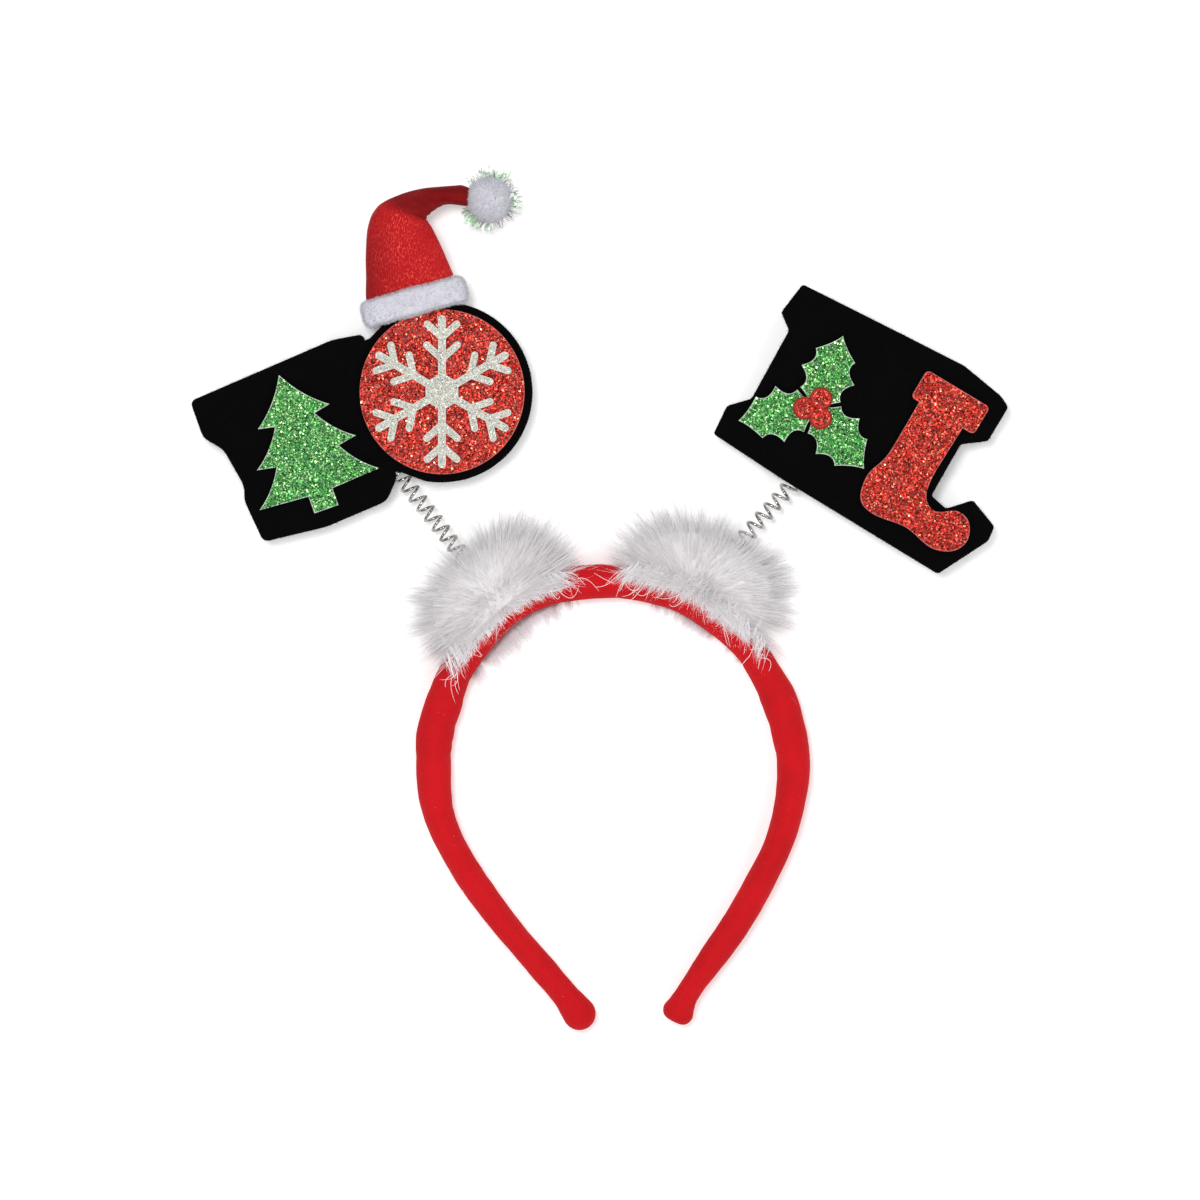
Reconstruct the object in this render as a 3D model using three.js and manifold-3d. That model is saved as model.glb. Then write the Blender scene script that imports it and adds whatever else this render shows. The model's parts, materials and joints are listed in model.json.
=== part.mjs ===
// A padded novelty headband that lies on its back. Two coil springs rise from the crown
// through tufts of marabou fur. Each spring carries a black felt sign with glitter shapes:
// a fir tree and a bauble under a small plush hat on the left, holly and a stocking on the right.
// Millimetres. +X is the wearer's left, +Y is up the wearer's head, +Z is the front of the band.

import * as THREE from "three";
import { mergeVertices } from "three/addons/utils/BufferGeometryUtils.js";
import Module from "manifold-3d";

const wasm = await Module();
wasm.setup();

// Gaps that keep neighbouring pieces apart
const CLEARANCE = 0.3; // where a piece seats on or passes through another
const GLUE_LINE = 0.1; // between flat layers that are glued together

// Padded band: an open arch with a rounded section and a bulb at each tip
const BAND_WIDTH = 150; // outside, at the widest
const BAND_HEIGHT = 178; // crown to tips
const PAD_THICKNESS = 13; // across the padding, in the plane of the arch
const PAD_DEPTH = 16; // front to back
const BAND_SIDES = 12;
const BAND_STEPS = 60;

// Stations down the band's middle line, from the tip at -X over the crown to the tip at +X.
// across: share of half the width. down: share of the height. thick, deep: shares of the padding.
const BAND_STATIONS = [
  { name: "left bulb", across: -0.17, down: 0.962, thick: 0.98, deep: 0.86 },
  { name: "left neck", across: -0.236, down: 0.925, thick: 0.76, deep: 0.72 },
  { name: "left shin", across: -0.374, down: 0.857, thick: 0.78, deep: 0.76 },
  { name: "left leg", across: -0.53, down: 0.78, thick: 0.8, deep: 0.82 },
  { name: "left leg upper", across: -0.655, down: 0.711, thick: 0.84, deep: 0.86 },
  { name: "left knee", across: -0.759, down: 0.646, thick: 0.86, deep: 0.9 },
  { name: "left bend", across: -0.856, down: 0.568, thick: 0.88, deep: 0.94 },
  { name: "left cheek", across: -0.9, down: 0.503, thick: 0.93, deep: 1 },
  { name: "left widest", across: -0.91, down: 0.413, thick: 1.04, deep: 1 },
  { name: "left bulge", across: -0.902, down: 0.362, thick: 1.12, deep: 1 },
  { name: "left side", across: -0.853, down: 0.291, thick: 1.06, deep: 1 },
  { name: "left shoulder", across: -0.786, down: 0.221, thick: 1, deep: 1 },
  { name: "left spring seat", across: -0.545, down: 0.0993, thick: 1, deep: 1 },
  { name: "left crown", across: -0.363, down: 0.0566, thick: 0.98, deep: 1 },
  { name: "crown", across: -0.064, down: 0.0365, thick: 1, deep: 1 },
  { name: "right crown", across: 0.2, down: 0.048, thick: 0.98, deep: 1 },
  { name: "right spring seat", across: 0.407, down: 0.0801, thick: 0.97, deep: 1 },
  { name: "right shoulder", across: 0.681, down: 0.174, thick: 0.93, deep: 1 },
  { name: "right side upper", across: 0.777, down: 0.234, thick: 0.96, deep: 1 },
  { name: "right side", across: 0.848, down: 0.293, thick: 1.04, deep: 1 },
  { name: "right bulge", across: 0.904, down: 0.378, thick: 1.01, deep: 1 },
  { name: "right widest", across: 0.919, down: 0.43, thick: 0.97, deep: 1 },
  { name: "right cheek", across: 0.901, down: 0.509, thick: 0.9, deep: 0.98 },
  { name: "right bend", across: 0.848, down: 0.592, thick: 0.86, deep: 0.92 },
  { name: "right knee", across: 0.7335, down: 0.692, thick: 0.88, deep: 0.88 },
  { name: "right leg", across: 0.62, down: 0.774, thick: 0.85, deep: 0.82 },
  { name: "right shin", across: 0.488, down: 0.853, thick: 0.77, deep: 0.76 },
  { name: "right neck", across: 0.377, down: 0.921, thick: 0.67, deep: 0.7 },
  { name: "right bulb", across: 0.334, down: 0.957, thick: 0.9, deep: 0.82 },
];

// Coil springs
const SPRING_OUTER = 6.8;
const SPRING_WIRE = 0.95;
const SPRING_TURN_LENGTH = 4.75;
const SPRING_TUCK = 10; // the length that lies behind the felt
const CLOSED_TURNS = 1.25; // touching turns at each end
const CLOSED_PITCH = 1.15; // as a share of the wire
const WIRE_SIDES = 5;
const STEPS_PER_TURN = 9;
const LEFT_SPRING_FREE = 55.4; // from the band to the felt's edge
const RIGHT_SPRING_FREE = 51.8;
const LEFT_SPRING_LEAN = 128; // degrees from +X, in the plane of the arch
const RIGHT_SPRING_LEAN = 48.3;

// Fur tufts: a plump core with pointed locks, over the outer half of the band.
// along, outward: half lengths, locks included. fuller: how much more the tuft reaches outwards
// at its end on the +X side.
const LEFT_TUFT = { along: 34.5, outward: 28, fuller: 0 };
const RIGHT_TUFT = { along: 36, outward: 30, fuller: 0.14 };
const FUR_FRONT = 21; // half the depth, locks included
const FUR_CORE = 0.8; // the core's share of those
const FUR_PLUMPNESS = 2.6; // 2 is an ellipsoid, and more is boxier
const FUR_LIFT = 3.5; // from the band's middle line to the tuft's centre
const FUR_LOCKS = 58;
const FUR_LOCK_WIDTH = 11;
const FUR_SWIRL = 0.16; // how far a lock's tip is combed along the band
const FUR_BAND_COVER = 1; // how far the fur comes over the middle line towards the head

// Signs: layers of foam and felt
const FELT_THICKNESS = 2.5;
const GLITTER_THICKNESS = 1.8;
const SNOWFLAKE_THICKNESS = 1;
const CORNER_ROUND = 2.5;

// Left sign, in a frame whose origin is the bauble's centre
const LEFT_SIGN_TILT = 19.5;
const BAUBLE_RADIUS = 31.3;
const BAUBLE_MARGIN = 3; // felt that shows around the bauble
const PANEL_LENGTH = 91.5; // from the bauble's centre to the far end
const PANEL_HALF_HEIGHT = 33;
const LEFT_SPRING_EDGE = { across: -0.273, up: -0.833 }; // where the spring goes behind the felt
const PANEL_JOIN_TOP = 124; // degrees round the bauble, where its felt meets the panel's
const PANEL_JOIN_BOTTOM = 222.7;
const PANEL_CORNERS = [
  { name: "top inner", across: -0.228, up: 0.933 },
  { name: "top bend", across: -0.36, up: 0.99 },
  { name: "top far", across: -1, up: 0.87 },
  { name: "far step top", across: -1, up: 0.42 },
  { name: "far step", across: -0.937, up: 0.218 },
  { name: "far waist", across: -0.906, up: -0.26 },
  { name: "far foot top", across: -0.926, up: -0.418 },
  { name: "far foot", across: -0.908, up: -0.94 },
  { name: "bottom bend", across: -0.64, up: -1.018 },
  { name: "near foot", across: -0.37, up: -0.97 },
  { name: "notch", across: -0.297, up: -0.76 },
];

// Right sign, in a frame whose origin is the sign's middle
const RIGHT_SIGN_TILT = -31;
const SIGN_HALF_LENGTH = 56;
const SIGN_HALF_HEIGHT = 36.5;
const RIGHT_SPRING_EDGE = { across: -0.198, up: -0.856 };
const SIGN_CORNERS = [
  { name: "top near", across: -0.836, up: 0.995 },
  { name: "near notch top", across: -0.864, up: 0.633 },
  { name: "near waist top", across: -0.754, up: 0.51 },
  { name: "near waist bottom", across: -0.734, up: -0.301 },
  { name: "near notch bottom", across: -0.852, up: -0.496 },
  { name: "bottom near", across: -0.832, up: -0.819 },
  { name: "bottom middle", across: -0.257, up: -0.855 },
  { name: "bottom far", across: 0.963, up: -0.866 },
  { name: "far foot", across: 1.141, up: -0.304 },
  { name: "far foot top", across: 1.127, up: -0.14 },
  { name: "foot peak", across: 0.909, up: -0.019 },
  { name: "notch foot", across: 0.782, up: -0.241 },
  { name: "notch bottom", across: 0.652, up: -0.203 },
  { name: "notch top", across: 0.643, up: 0.414 },
  { name: "shoulder bottom", across: 0.791, up: 0.589 },
  { name: "shoulder", across: 0.79, up: 1.0 },
  { name: "shoulder top", across: 0.709, up: 1.06 },
  { name: "top far", across: 0.39, up: 1.134 },
  { name: "top middle", across: -0.064, up: 1.085 },
];

// Fir tree, on the left panel
const TREE_WIDTH = 48;
const TREE_HEIGHT = 54;
const TREE_CENTRE = { across: -0.615, up: -0.01 }; // shares of the panel
// Tiers of one half. reach, notch: shares of half the width. low, notchUp: shares of the height.
const TREE_TIERS = [
  { name: "upper", reach: 0.6, low: 0.69, notch: 0.33, notchUp: 0.665 },
  { name: "middle", reach: 0.83, low: 0.42, notch: 0.52, notchUp: 0.395 },
  { name: "lower", reach: 1, low: 0.15, notch: 0.2, notchUp: 0.125 },
];
const TREE_DROOP = 0.24; // how far a bough's edge bows inwards, as a share of its run

// Snowflake, on the bauble
const FLAKE_ARM = 29;
const FLAKE_ARM_WIDTH = 3;
const FLAKE_BRANCH_WIDTH = 2.7;
const FLAKE_HUB = 7.2; // the hexagon's corner radius
const FLAKE_BRANCHES = [
  { name: "inner pair", at: 0.43, length: 0.27 },
  { name: "outer pair", at: 0.71, length: 0.26 },
];
const FLAKE_BRANCH_ANGLE = 48;

// Holly, on the right sign
const LEAF_LENGTH = 29.5;
const LEAF_WIDTH = 21.5;
const LEAF_SPINES = 3; // along each edge, before the tip
const LEAF_SCALLOP = 0.5; // the width between spines, as a share
const LEAF_BEARINGS = [100, 220, 340];
const HOLLY_CENTRE = { across: -0.33, up: -0.05 };
const BERRY_RADIUS = 4.4;
const BERRY_THICKNESS = 2.2;
const BERRY_COUNT = 3;

// Stocking, on the right sign, with its cuff up and its toe away from the holly.
// Its points are shares of its length, heel to toe, and of its height, sole to cuff.
const STOCKING_LENGTH = 46;
const STOCKING_HEIGHT = 57.5;
const STOCKING_HEEL = { across: 0.202, up: -0.68 }; // shares of the sign
const CUFF = { left: -0.02, right: 0.585, bottom: 0.79, top: 1, round: 0.045 };
const STOCKING_OUTLINE = [
  { name: "leg back top", along: 0.06, up: 0.82 },
  { name: "leg back", along: 0.065, up: 0.58 },
  { name: "ankle back", along: 0.06, up: 0.37 },
  { name: "heel back", along: 0.005, up: 0.2 },
  { name: "heel", along: 0.06, up: 0.04 },
  { name: "heel under", along: 0.22, up: 0.0 },
  { name: "arch", along: 0.5, up: 0.035 },
  { name: "ball", along: 0.76, up: 0.005 },
  { name: "toe under", along: 0.93, up: 0.06 },
  { name: "toe", along: 0.99, up: 0.17 },
  { name: "toe top", along: 0.92, up: 0.28 },
  { name: "toe crest", along: 0.79, up: 0.3 },
  { name: "instep low", along: 0.64, up: 0.225 },
  { name: "instep", along: 0.52, up: 0.27 },
  { name: "ankle front", along: 0.475, up: 0.4 },
  { name: "leg front", along: 0.475, up: 0.6 },
  { name: "leg front top", along: 0.48, up: 0.82 },
];

// Plush hat, in a frame whose origin is the brim's centre
const HAT_TILT = -4; // from the left sign
const HAT_SEAT = 35.7; // from the bauble's centre to the brim's
const HAT_SHIFT = 1.5;
const BRIM_LENGTH = 41.5;
const BRIM_HEIGHT = 10.4;
const BRIM_WALL = 3;
const CONE_WIDTH = 35;
const CONE_HEIGHT = 40;
const CONE_DEPTH = 8.4; // front to back at the base
const CONE_WALL = 1;
const HAT_SIDES = 18;
// Sections from the base to the tip. side: share of the width. up: share of the height.
// wide, deep: shares of the cone's width and depth. turn: the section's lean in degrees.
const CONE_SECTIONS = [
  { name: "base", side: -0.007, up: -0.05, wide: 1, deep: 1, turn: 0 },
  { name: "above brim", side: -0.007, up: 0.15, wide: 0.985, deep: 1.2, turn: 0 },
  { name: "lower", side: 0.007, up: 0.35, wide: 0.89, deep: 1.38, turn: 0 },
  { name: "waist", side: 0.021, up: 0.55, wide: 0.79, deep: 1.38, turn: -3 },
  { name: "shoulder", side: 0.063, up: 0.75, wide: 0.67, deep: 1.28, turn: -14 },
  { name: "bend", side: 0.141, up: 0.85, wide: 0.545, deep: 1.14, turn: -30 },
  { name: "fold", side: 0.286, up: 0.895, wide: 0.41, deep: 1, turn: -43 },
  { name: "neck", side: 0.451, up: 0.915, wide: 0.29, deep: 0.86, turn: -60 },
  { name: "tail", side: 0.61, up: 0.905, wide: 0.215, deep: 0.76, turn: -78 },
  { name: "tip", side: 0.825, up: 0.85, wide: 0.24, deep: 0.74, turn: -90 },
];
const POMPOM_RADIUS = 8.6;
const POMPOM_BEARING = -25; // degrees, from the hat's tip to the pompom's centre
const TINSEL_REACH = 4.6; // past the pompom's surface
const TINSEL_LOCKS = 34;
const TINSEL_WIDTH = 2.4;

// Heights that follow from the sizes
const BAND_MIDDLE_Z = PAD_DEPTH / 2;
const FELT_BACK_Z = BAND_MIDDLE_Z + SPRING_OUTER / 2 + CLEARANCE;
const GLITTER_BACK_Z = FELT_BACK_Z + FELT_THICKNESS + GLUE_LINE;
const TOPPER_BACK_Z = GLITTER_BACK_Z + GLITTER_THICKNESS + GLUE_LINE;
const HAT_MIDDLE_Z = (FELT_BACK_Z + TOPPER_BACK_Z - GLUE_LINE) / 2;

const deg = THREE.MathUtils.degToRad;
const UP = new THREE.Vector3(0, 0, 1);
const heading = (degrees) => new THREE.Vector3(Math.cos(deg(degrees)), Math.sin(deg(degrees)), 0);

const paint = (color, roughness, metalness = 0) =>
  new THREE.MeshStandardMaterial({ color, roughness, metalness });
const RED_KNIT = paint(0xd0161c, 0.8);
const WHITE_FUR = paint(0xe6e3e6, 0.95);
const STEEL = paint(0xa8a49e, 0.3, 1);
const BLACK_FELT = paint(0x060606, 0.95);
const GREEN_GLITTER = paint(0x3f9d3f, 0.35, 0.3);
const RED_GLITTER = paint(0xc8201c, 0.35, 0.3);
const PEARL_GLITTER = paint(0xdfe4d8, 0.4, 0.1);
const RED_SATIN = paint(0xc4121a, 0.5);
const WHITE_PLUSH = paint(0xdadaea, 0.95);

// A closed geometry as a solid, and back again
function toSolid(geometry, matrix = new THREE.Matrix4()) {
  const bare = geometry.clone().applyMatrix4(matrix);
  for (const name of ["normal", "uv"]) bare.deleteAttribute(name);
  const merged = mergeVertices(bare, 1e-4);
  return new wasm.Manifold(
    new wasm.Mesh({
      numProp: 3,
      vertProperties: new Float32Array(merged.attributes.position.array),
      triVerts: new Uint32Array(merged.index.array),
    }),
  );
}

function toGeometry(solid) {
  const { vertProperties, triVerts } = solid.getMesh();
  return new THREE.BufferGeometry()
    .setAttribute("position", new THREE.BufferAttribute(new Float32Array(vertProperties), 3))
    .setIndex(new THREE.BufferAttribute(new Uint32Array(triVerts), 1));
}

const joined = (solids) => solids.reduce((whole, next) => whole.add(next));

// Closed skin over rings of equal size, with a fan to a point at each end
function skin(rings, firstPoint, lastPoint) {
  const sides = rings[0].length;
  const points = [...rings.flat(), firstPoint, lastPoint];
  const first = points.length - 2;
  const last = points.length - 1;
  const faces = [];
  for (let s = 0; s < sides; s++) {
    const n = (s + 1) % sides;
    faces.push(first, n, s);
    for (let r = 0; r + 1 < rings.length; r++) {
      const a = r * sides;
      const b = a + sides;
      faces.push(a + s, a + n, b + n, a + s, b + n, b + s);
    }
    const end = (rings.length - 1) * sides;
    faces.push(last, end + s, end + n);
  }
  return new THREE.BufferGeometry().setFromPoints(points).setIndex(faces);
}

const plate = (shape, thickness, curveSegments = 6) =>
  new THREE.ExtrudeGeometry(shape, { depth: thickness, bevelEnabled: false, curveSegments });

// The band's middle line, with the padding's size and the way out from the head at each place
const bandCurve = new THREE.CatmullRomCurve3(
  BAND_STATIONS.map(
    ({ across, down }) =>
      new THREE.Vector3((across * BAND_WIDTH) / 2, -down * BAND_HEIGHT, BAND_MIDDLE_Z),
  ),
);
const stationNamed = (name) => BAND_STATIONS.findIndex((station) => station.name === name);

function bandAt(station) {
  const share = station / (BAND_STATIONS.length - 1);
  const low = Math.min(Math.floor(station), BAND_STATIONS.length - 2);
  const mix = (key) =>
    THREE.MathUtils.lerp(BAND_STATIONS[low][key], BAND_STATIONS[low + 1][key], station - low);
  const along = bandCurve.getTangent(share);
  return {
    centre: bandCurve.getPoint(share),
    along,
    outward: new THREE.Vector3(-along.y, along.x, 0),
    halfThick: (mix("thick") * PAD_THICKNESS) / 2,
    halfDeep: (mix("deep") * PAD_DEPTH) / 2,
  };
}

// Band skin, grown by a margin where a neighbour needs room for it
function bandGeometry(grow = 0) {
  const ringAt = ({ centre, outward, halfThick, halfDeep }, scale, shift) =>
    Array.from({ length: BAND_SIDES }, (_, i) => {
      const angle = ((i + 0.5) / BAND_SIDES) * 2 * Math.PI;
      return centre
        .clone()
        .add(shift)
        .addScaledVector(outward, (halfThick + grow) * scale * Math.cos(angle))
        .addScaledVector(UP, (halfDeep + grow) * scale * Math.sin(angle));
    });
  const END_RINGS = 4;
  const end = (place, way) => {
    const reach = place.halfThick + grow;
    const rings = [];
    for (let k = 1; k <= END_RINGS; k++) {
      const angle = ((k / (END_RINGS + 1)) * Math.PI) / 2;
      const shift = place.along.clone().multiplyScalar(way * reach * Math.sin(angle));
      rings.push(ringAt(place, Math.cos(angle), shift));
    }
    return { rings, point: place.centre.clone().addScaledVector(place.along, way * reach) };
  };
  const last = BAND_STATIONS.length - 1;
  const still = new THREE.Vector3();
  const start = end(bandAt(0), -1);
  const finish = end(bandAt(last), 1);
  const body = Array.from({ length: BAND_STEPS + 1 }, (_, i) =>
    ringAt(bandAt((i / BAND_STEPS) * last), 1, still),
  );
  const rings = [...start.rings.reverse(), ...body, ...finish.rings];
  return skin(rings, start.point, finish.point);
}

// Closed-end coil: its axis is +Z and it starts at the origin
class Coil extends THREE.Curve {
  constructor(length) {
    super();
    this.endLength = CLOSED_TURNS * CLOSED_PITCH * SPRING_WIRE;
    this.length = length - SPRING_WIRE;
    this.turns = (this.length - 2 * this.endLength) / SPRING_TURN_LENGTH + 2 * CLOSED_TURNS;
  }
  getPoint(share, target = new THREE.Vector3()) {
    const turn = share * this.turns;
    const fromEnd = Math.min(turn, this.turns - turn);
    const closed = (Math.min(fromEnd, CLOSED_TURNS) / CLOSED_TURNS) * this.endLength;
    const open = Math.max(fromEnd - CLOSED_TURNS, 0) * SPRING_TURN_LENGTH;
    const rise = turn < this.turns / 2 ? closed + open : this.length - closed - open;
    const radius = (SPRING_OUTER - SPRING_WIRE) / 2;
    const angle = turn * 2 * Math.PI;
    return target.set(
      radius * Math.cos(angle),
      radius * Math.sin(angle),
      SPRING_WIRE / 2 + rise,
    );
  }
}

function springGeometry(length) {
  const coil = new Coil(length);
  const wire = new THREE.Shape(
    Array.from({ length: WIRE_SIDES }, (_, i) => {
      const angle = (i / WIRE_SIDES) * 2 * Math.PI;
      return new THREE.Vector2(Math.cos(angle), Math.sin(angle)).multiplyScalar(SPRING_WIRE / 2);
    }),
  );
  return new THREE.ExtrudeGeometry(wire, {
    extrudePath: coil,
    steps: Math.round(coil.turns * STEPS_PER_TURN),
    bevelEnabled: false,
  });
}

// Where each spring stands on the band, and the sign that it carries
function springPlan(station, lean, free) {
  const seat = bandAt(stationNamed(station));
  const way = heading(lean);
  const slant = Math.acos(Math.min(1, way.dot(seat.outward)));
  const lift = CLEARANCE + (SPRING_OUTER / 2) * Math.sin(slant);
  const base = seat.centre
    .clone()
    .addScaledVector(seat.outward, seat.halfThick)
    .addScaledVector(way, lift);
  const length = free - lift + SPRING_TUCK;
  const edge = base.clone().addScaledVector(way, free - lift);
  return { seat, way, base, length, edge };
}
const leftSpring = springPlan("left spring seat", LEFT_SPRING_LEAN, LEFT_SPRING_FREE);
const rightSpring = springPlan("right spring seat", RIGHT_SPRING_LEAN, RIGHT_SPRING_FREE);

// Cone with its base in the plane z = 0 and its point on +Z, turned to point along a way
function lock(root, tip, width) {
  const way = tip.clone().sub(root);
  const cone = new THREE.ConeGeometry(width / 2, way.length(), 5, 1);
  cone.translate(0, way.length() / 2, 0);
  const turn = new THREE.Quaternion().setFromUnitVectors(
    new THREE.Vector3(0, 1, 0),
    way.clone().normalize(),
  );
  return toSolid(cone, new THREE.Matrix4().compose(root, turn, new THREE.Vector3(1, 1, 1)));
}

// Directions spread evenly over a sphere
function spread(count) {
  const golden = Math.PI * (3 - Math.sqrt(5));
  return Array.from({ length: count }, (_, i) => {
    const z = 1 - (2 * i + 1) / count;
    const ring = Math.sqrt(1 - z * z);
    return new THREE.Vector3(ring * Math.cos(golden * i), ring * Math.sin(golden * i), z);
  });
}

// The space inside the band's middle line, where the head goes
function headSolid() {
  const last = BAND_STATIONS.length - 1;
  const outline = Array.from({ length: BAND_STEPS + 1 }, (_, i) => {
    const { centre, outward } = bandAt((i / BAND_STEPS) * last);
    const point = centre.clone().addScaledVector(outward, -FUR_BAND_COVER);
    return new THREE.Vector2(point.x, point.y);
  });
  const tall = 4 * (PAD_DEPTH + FUR_FRONT);
  const prism = plate(new THREE.Shape(outline), tall);
  return toSolid(prism, new THREE.Matrix4().makeTranslation(0, 0, -tall / 2));
}

// A direction's point on a tuft's outer form, in the tuft's own frame
function tuftPoint({ along, outward, fuller }, direction) {
  const sum = direction.toArray().reduce((total, v) => total + Math.abs(v) ** FUR_PLUMPNESS, 0);
  const point = direction.clone().divideScalar(sum ** (1 / FUR_PLUMPNESS));
  const reach = outward * (1 + fuller * point.x);
  return point.multiply(new THREE.Vector3(along, reach, FUR_FRONT));
}

function furGeometry(tuft, { seat, way, base, length }, head, bandRoom) {
  const centre = seat.centre.clone().addScaledVector(seat.outward, FUR_LIFT);
  const basis = new THREE.Matrix4().makeBasis(seat.along, seat.outward, UP).setPosition(centre);
  const ball = new THREE.SphereGeometry(1, 16, 9).rotateX(Math.PI / 2);
  const points = ball.attributes.position;
  for (let i = 0; i < points.count; i++) {
    const direction = new THREE.Vector3().fromBufferAttribute(points, i);
    points.setXYZ(i, ...tuftPoint(tuft, direction).multiplyScalar(FUR_CORE).toArray());
  }
  const core = toSolid(ball, basis);
  const locks = spread(FUR_LOCKS).map((direction, i) => {
    const reach = 1 - 0.05 * (i % 3);
    const combed = direction.clone();
    combed.x += FUR_SWIRL * Math.sign(direction.x) * (1 - Math.abs(direction.x));
    const tip = tuftPoint(tuft, combed.normalize()).multiplyScalar(reach);
    const root = tuftPoint(tuft, direction).multiplyScalar(FUR_CORE * 0.72);
    return lock(root.applyMatrix4(basis), tip.applyMatrix4(basis), FUR_LOCK_WIDTH);
  });
  const room = 4 * tuft.along;
  const floor = toSolid(
    new THREE.BoxGeometry(room, room, room).translate(centre.x, centre.y, -room / 2),
  );
  const channel = toSolid(
    new THREE.CylinderGeometry(1, 1, length, 12)
      .scale(SPRING_OUTER / 2 + CLEARANCE, 1, SPRING_OUTER / 2 + CLEARANCE)
      .translate(0, length / 2 - CLEARANCE, 0),
    new THREE.Matrix4().compose(
      base,
      new THREE.Quaternion().setFromUnitVectors(new THREE.Vector3(0, 1, 0), way),
      new THREE.Vector3(1, 1, 1),
    ),
  );
  const cut = joined([core, ...locks])
    .subtract(floor)
    .subtract(head)
    .subtract(bandRoom)
    .subtract(channel);
  const pieces = cut.decompose();
  pieces.sort((a, b) => b.volume() - a.volume());
  return toGeometry(pieces[0]);
}

// Outline through corners, each cut back and rounded
function roundedOutline(shape, corners, round, start = 0) {
  corners.forEach((corner, i) => {
    const before = i > 0 ? corners[i - 1] : corners[corners.length - 1];
    const after = corners[(i + 1) % corners.length];
    const reach = Math.min(round, corner.distanceTo(before) / 2.2, corner.distanceTo(after) / 2.2);
    const enter = corner.clone().add(before.clone().sub(corner).setLength(reach));
    const leave = corner.clone().add(after.clone().sub(corner).setLength(reach));
    if (i === 0 && !start) shape.moveTo(enter.x, enter.y);
    else shape.lineTo(enter.x, enter.y);
    shape.quadraticCurveTo(corner.x, corner.y, leave.x, leave.y);
  });
  return shape;
}

const atShares = ({ across, up }, halfLength, halfHeight) =>
  new THREE.Vector2(across * halfLength, up * halfHeight);

function leftFeltShape() {
  const corners = PANEL_CORNERS.map((c) => atShares(c, PANEL_LENGTH, PANEL_HALF_HEIGHT));
  const radius = BAUBLE_RADIUS + BAUBLE_MARGIN;
  const shape = new THREE.Shape();
  shape.absarc(0, 0, radius, deg(PANEL_JOIN_BOTTOM), deg(PANEL_JOIN_TOP + 360), false);
  return roundedOutline(shape, corners, CORNER_ROUND, 1);
}

function rightFeltShape() {
  const corners = SIGN_CORNERS.map((c) => atShares(c, SIGN_HALF_LENGTH, SIGN_HALF_HEIGHT));
  return roundedOutline(new THREE.Shape(), corners, CORNER_ROUND / 2);
}

// Half of the tree runs from the tip to the trunk, and the other half mirrors it
function treeShape() {
  const half = TREE_WIDTH / 2;
  const y = (share) => (share - 0.5) * TREE_HEIGHT;
  const side = [];
  let from = new THREE.Vector2(0, y(1));
  for (const { reach, low, notch, notchUp } of TREE_TIERS) {
    const corner = new THREE.Vector2(reach * half, y(low));
    const bow = new THREE.Vector2(
      THREE.MathUtils.lerp(from.x, corner.x, 0.5 - TREE_DROOP / 2),
      THREE.MathUtils.lerp(from.y, corner.y, 0.5 + TREE_DROOP / 2),
    );
    const next = new THREE.Vector2(notch * half, y(notchUp));
    side.push({ bow, corner, next });
    from = next;
  }
  const foot = new THREE.Vector2(from.x, y(0));
  const shape = new THREE.Shape().moveTo(0, y(1));
  for (const { bow, corner, next } of side) {
    shape.quadraticCurveTo(-bow.x, bow.y, -corner.x, corner.y).lineTo(-next.x, next.y);
  }
  shape.lineTo(-foot.x, foot.y).lineTo(foot.x, foot.y);
  let back = side.length - 1;
  for (; back >= 0; back--) {
    const { bow, corner, next } = side[back];
    const above = back > 0 ? side[back - 1].next : new THREE.Vector2(0, y(1));
    shape.lineTo(next.x, next.y).lineTo(corner.x, corner.y);
    shape.quadraticCurveTo(bow.x, bow.y, above.x, above.y);
  }
  return shape;
}

// Straight bar from a place along a heading, with a round far end
function barSolid(length, width, degrees, start, thickness) {
  const shape = new THREE.Shape().moveTo(0, width / 2).lineTo(0, -width / 2);
  shape.absarc(length, 0, width / 2, -Math.PI / 2, Math.PI / 2, false);
  const turn = new THREE.Matrix4().makeRotationZ(deg(degrees)).setPosition(start);
  const bar = new THREE.ExtrudeGeometry(shape, {
    depth: thickness,
    bevelEnabled: false,
    curveSegments: 2,
  });
  return toSolid(bar, turn);
}

function snowflakeGeometry(turn) {
  const thickness = SNOWFLAKE_THICKNESS;
  const hub = toSolid(
    new THREE.CylinderGeometry(FLAKE_HUB, FLAKE_HUB, thickness, 6)
      .rotateX(Math.PI / 2)
      .translate(0, 0, thickness / 2),
    new THREE.Matrix4().makeRotationZ(deg(turn)),
  );
  const bars = [];
  for (let arm = 0; arm < 6; arm++) {
    const bearing = 90 + turn + arm * 60;
    const tip = FLAKE_ARM - FLAKE_ARM_WIDTH / 2;
    bars.push(barSolid(tip, FLAKE_ARM_WIDTH, bearing, new THREE.Vector3(), thickness));
    for (const { at, length } of FLAKE_BRANCHES) {
      const fork = heading(bearing).multiplyScalar(at * FLAKE_ARM);
      for (const side of [-1, 1]) {
        const way = bearing + side * FLAKE_BRANCH_ANGLE;
        bars.push(barSolid(length * FLAKE_ARM, FLAKE_BRANCH_WIDTH, way, fork, thickness));
      }
    }
  }
  return toGeometry(joined([hub, ...bars]));
}

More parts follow.
